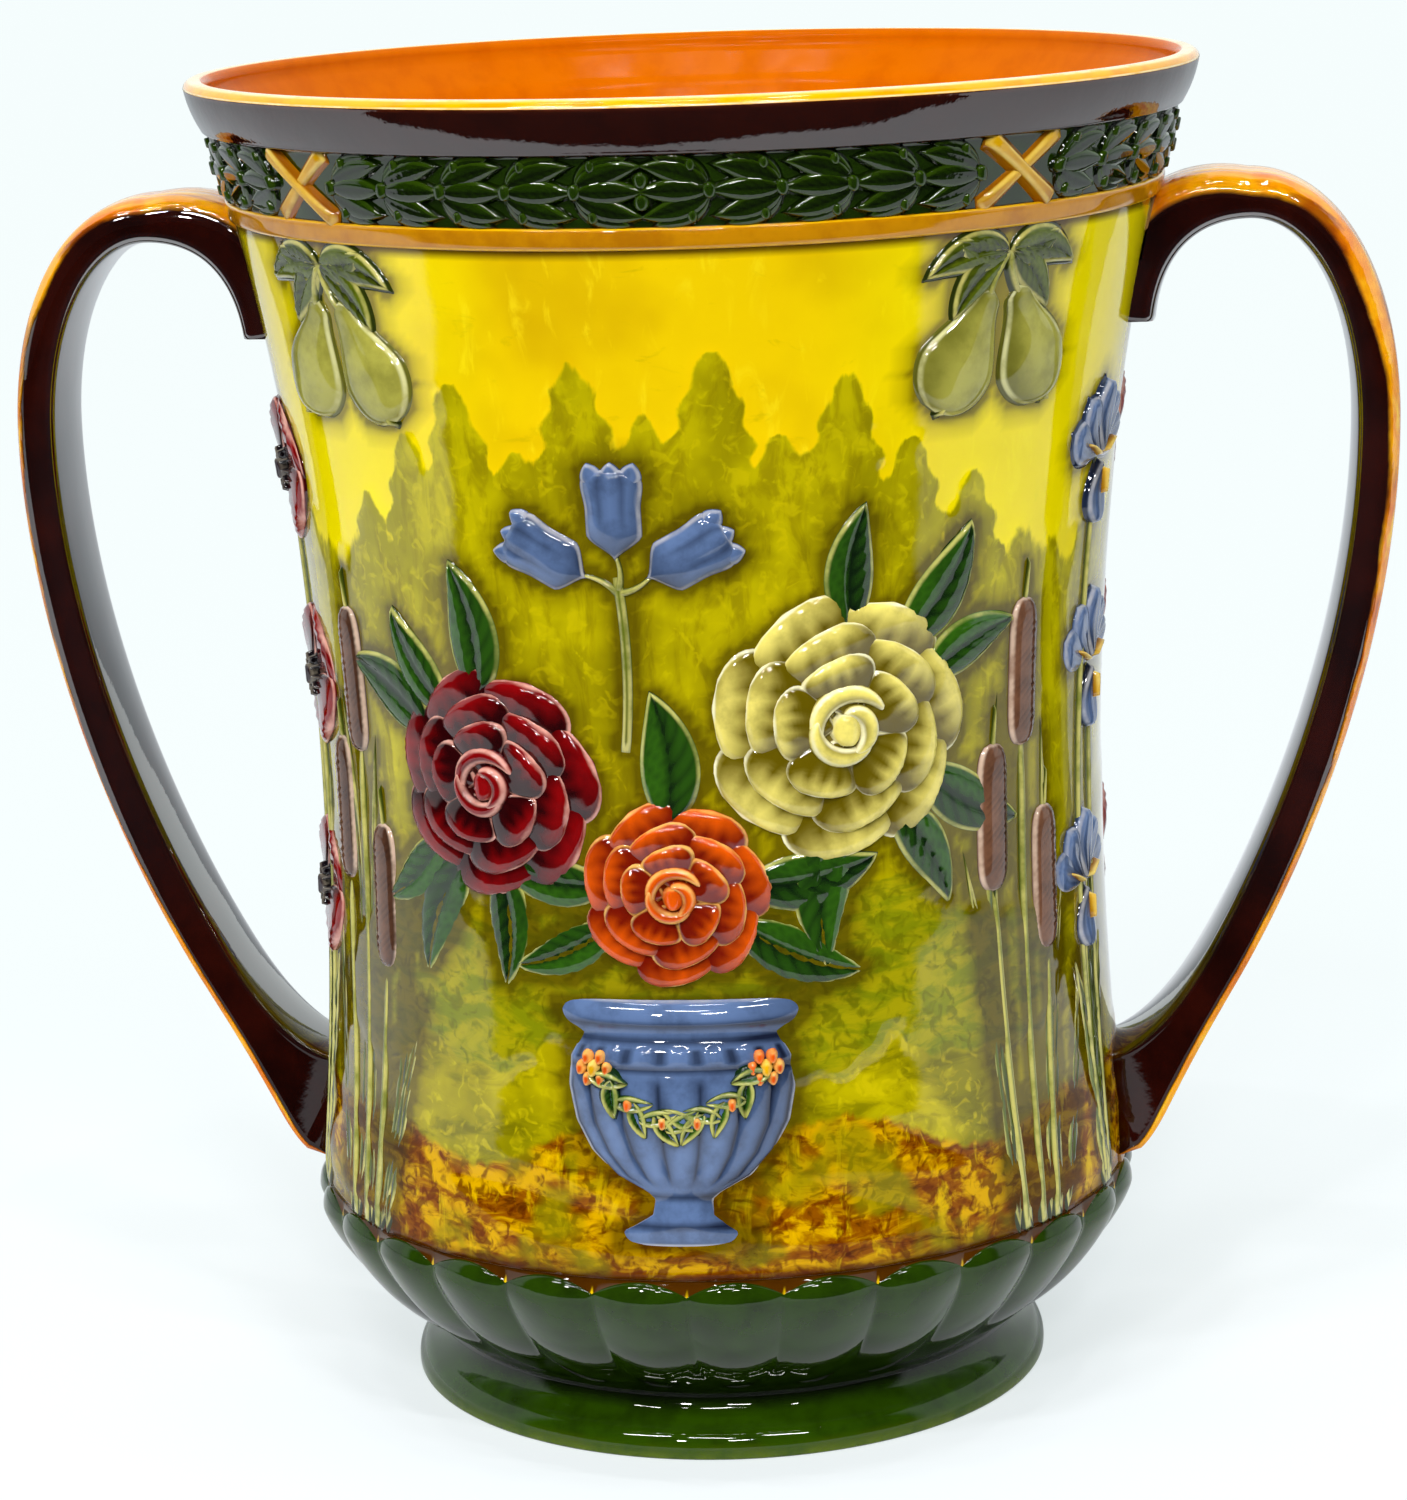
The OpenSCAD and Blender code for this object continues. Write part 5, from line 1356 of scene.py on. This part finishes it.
def poppy(middle):
    """Four crinkled petals, two under and two over, a dark pod and a ring of stamens."""
    tongues = []
    for turn, rise, seat in POPPY_PETALS:
        def crinkle(s, t, rise=rise):
            return rise - 0.5 + 0.6 * smooth(s, 0.4, 0.95) + 0.16 * np.cos(6 * np.pi * t) * s
        load = shade((0.95, 0.2, 0.7), folds=(0.4, -6, 0.7, 1.0))
        spine = line(*ray(turn, 0.5, POPPY_R, middle), 18)
        tongues.append(petal(spine, 1.5 * POPPY_R, 0.64, 0.5, crinkle, seat, load, 19))
    for turn in range(0, 360, 30):
        tongues.append(stem(line(*ray(turn, 2.2, 4.6, middle), 6), 0.8, 2.6, 2, 0.9, 1.2))
    return tongues + [berry(*middle, 2.3, 3.2, 2)]


def iris(middle):
    """Petals that fall, stand or spread from the middle, three of them with a beard."""
    tongues = []
    for turn, length, rise, seat, bearded in IRIS_PETALS:
        def ruffle(s, t, rise=rise):
            return rise - 0.3 + 0.5 * smooth(s, 0.4, 0.9) + 0.25 * t ** 2 - 0.2 * np.exp(-(t / 0.12) ** 2)
        load = shade((0.8, 0.1, 0.6), (0.3, 0.2, 0.9), (0.45, 6, 0.5, 0.95))
        spine = line(*ray(turn, 0.4, IRIS_L * length, middle), 18)
        tongues.append(petal(spine, 8.6, 0.62, 0.6, ruffle, seat, load, 17))
        if bearded:
            beard = line(*ray(turn, 1.5, 0.55 * IRIS_L, middle), 8)
            tongues.append(stem(beard, 1.4, rise + 0.9, 2, 0.4, seat))
    return tongues


def border_blooms(flower):
    """Three blooms on their stems, and sword leaves at the foot."""
    tongues = []
    for u, share in BLOOM_PLACES:
        spine = line((0.5 * u, STEM_DOWN), (u, BLOOM_H * share), 40, 0.02 * np.sign(u))
        tongues.append(stem(spine, 2.0, 1.2, 1, 0.8))
    for u, share, bow in SWORD_LEAVES:
        tongues.append(leaf((0.25 * u, STEM_DOWN), (u, BLOOM_H * share), 6.0, 1.1, bow, 1, widest=0.4))
    for u, share in BLOOM_PLACES:
        tongues += flower((u, BLOOM_H * share))
    return tongues


on_panels("poppy_stand", "poppies", "crimson_glaze", border_blooms(poppy), [CRIMSON, STEM, POD],
          (0, STAND_UP), -BLOOM_ANGLE)
on_panels("iris_stand", "irises", "blue_grey_glaze", border_blooms(iris), [BLUE_GREY, STEM, HEART],
          (0, STAND_UP), BLOOM_ANGLE)
print("border blooms:", len(BLOOM_PLACES), "a stand")

# %% [markdown]
# A pair of pears hangs from a twig under each ribbon. A pear is a tongue with a narrow neck and a round
# bottom, fuller than the leaves beside it.

# %% Pears
PEAR_R, PEAR_DROP, PEAR_TURNS, PEAR_TOP = 8.5, 4.0, (-24, 24), 2.8
PEAR_HANG, PEAR_L, PEAR_WIDEST = 0.85 * PEAR_R, 2.75 * PEAR_R, 0.62
PEAR_LEAVES = ((192, 18, 0.12), (-12, 18, -0.12), (160, 13, -0.1), (20, 13, 0.1), (226, 16, 0.1),
               (-46, 16, -0.1))


def pear(turn):
    """A pear hung from the twig: half width is a neck that swells to a round bottom."""
    s = np.linspace(0, 1, 34)
    neck = np.where(s < PEAR_WIDEST, 0.36 + 0.64 * smooth(s, 0.05, 0.66), 1.0)
    bottom = rounded(np.clip((s - PEAR_WIDEST) / (1 - PEAR_WIDEST), 0, 1))
    half = PEAR_R * neck * bottom * smooth(s, -0.02, 0.08)
    start, end = ray(turn - 90, PEAR_HANG, PEAR_HANG + PEAR_L)

    def swell(s, t):
        return 1.5 + 1.7 * smooth(s, 0.1, 0.65) + 0 * t

    load = shade((0.4, 0.0, 0.3), (0.7, 0.0, 0.95))
    stalk = stem(line((0, 0), start + (end - start) * 0.08, 10, 0.08), 1.6, 1.3, 1, 0.9)
    fruit = tongue(line(start, end, 34), half, swell, SEAT, 0, load, 25)
    calyx = line(*ray(turn - 90, PEAR_HANG + PEAR_L - 2.2, PEAR_HANG + PEAR_L + 0.4), 6)
    return [stalk, fruit, stem(calyx, 1.8, 2.4, 1, 0.6)]


def pears():
    """Two pears and six leaves on a twig."""
    tongues = []
    for turn, length, bow in PEAR_LEAVES:
        start, end = ray(turn, 0.0, length)
        tongues.append(leaf(start, (end[0], min(end[1], PEAR_TOP)), 7.4, 1.4, bow, 1))
    for turn in PEAR_TURNS:
        tongues += pear(turn)
    return tongues


for side, sign in SIDES.items():
    on_panels("hanging_pears", "pears", "olive_glaze", pears(), [OLIVE, STEM],
              (0, CORDON_Z - PEAR_DROP - WALL_Z), sign * np.pi / 4, "_" + side)
print("pears:", len(PANELS) * len(SIDES), "pairs")

# %% [markdown]
# Glaze runs down to the wall and stands darkest in the angle round each sprig, and painted shade lies beside
# it. The points of all the sprigs are dropped on the wall's own grid of rings and columns, and the painted
# shade spreads from there, weaker with each step.

# %% Dark glaze and painted shade round the sprigs
POOL_STEPS, POOL_KEEP = 3, 0.56
laid = np.vstack(laid_points)
laid = laid[(laid[:, 2] > wall_z[0]) & (laid[:, 2] < wall_z[-1])]
laid_row = np.rint((laid[:, 2] - wall_z[0]) / (wall_z[1] - wall_z[0])).astype(int)
laid_turn = np.arctan2(laid[:, 1], laid[:, 0]) / (2 * np.pi)
laid_column = np.rint(laid_turn * len(ROUND)).astype(int) % len(ROUND)
pooled_and_shade = np.zeros((len(wall_profile), len(ROUND)))
pooled_and_shade[laid_row, laid_column] = 1
for _ in range(POOL_STEPS):
    beside = np.maximum(np.roll(pooled_and_shade, 1, 1), np.roll(pooled_and_shade, -1, 1))
    above = np.maximum(np.roll(pooled_and_shade, 1, 0), np.roll(pooled_and_shade, -1, 0))
    pooled_and_shade = np.maximum(pooled_and_shade, POOL_KEEP * np.maximum(beside, above))
pooled_and_shade[len(wall_z):] = 0
shaded = pieces_made["painted_wall"].data.attributes.new("pooled_and_shade", "FLOAT", "POINT")
shaded.data.foreach_set("value", pooled_and_shade.ravel().astype(np.float32))
print("pooled glaze on", int((pooled_and_shade > 0.1).sum()), "points of the wall")

# %% [markdown]
# The layers of slip that join foot, bowl, wall and handles stay as the solids made them. They lie under the
# glaze, and only take the colour of fired clay.

# %% Slip and counts
slip_nodes = [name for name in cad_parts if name.endswith("slip")]
for name in slip_nodes:
    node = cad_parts[name]
    node.data.materials.clear()
    node.data.materials.append(SLIP)

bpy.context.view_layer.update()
triangles = sum(len(p.vertices) - 2 for piece in pieces_made.values() for p in piece.data.polygons)
print("pieces:", len(pieces_made), "triangles:", triangles, "slip layers:", len(slip_nodes))
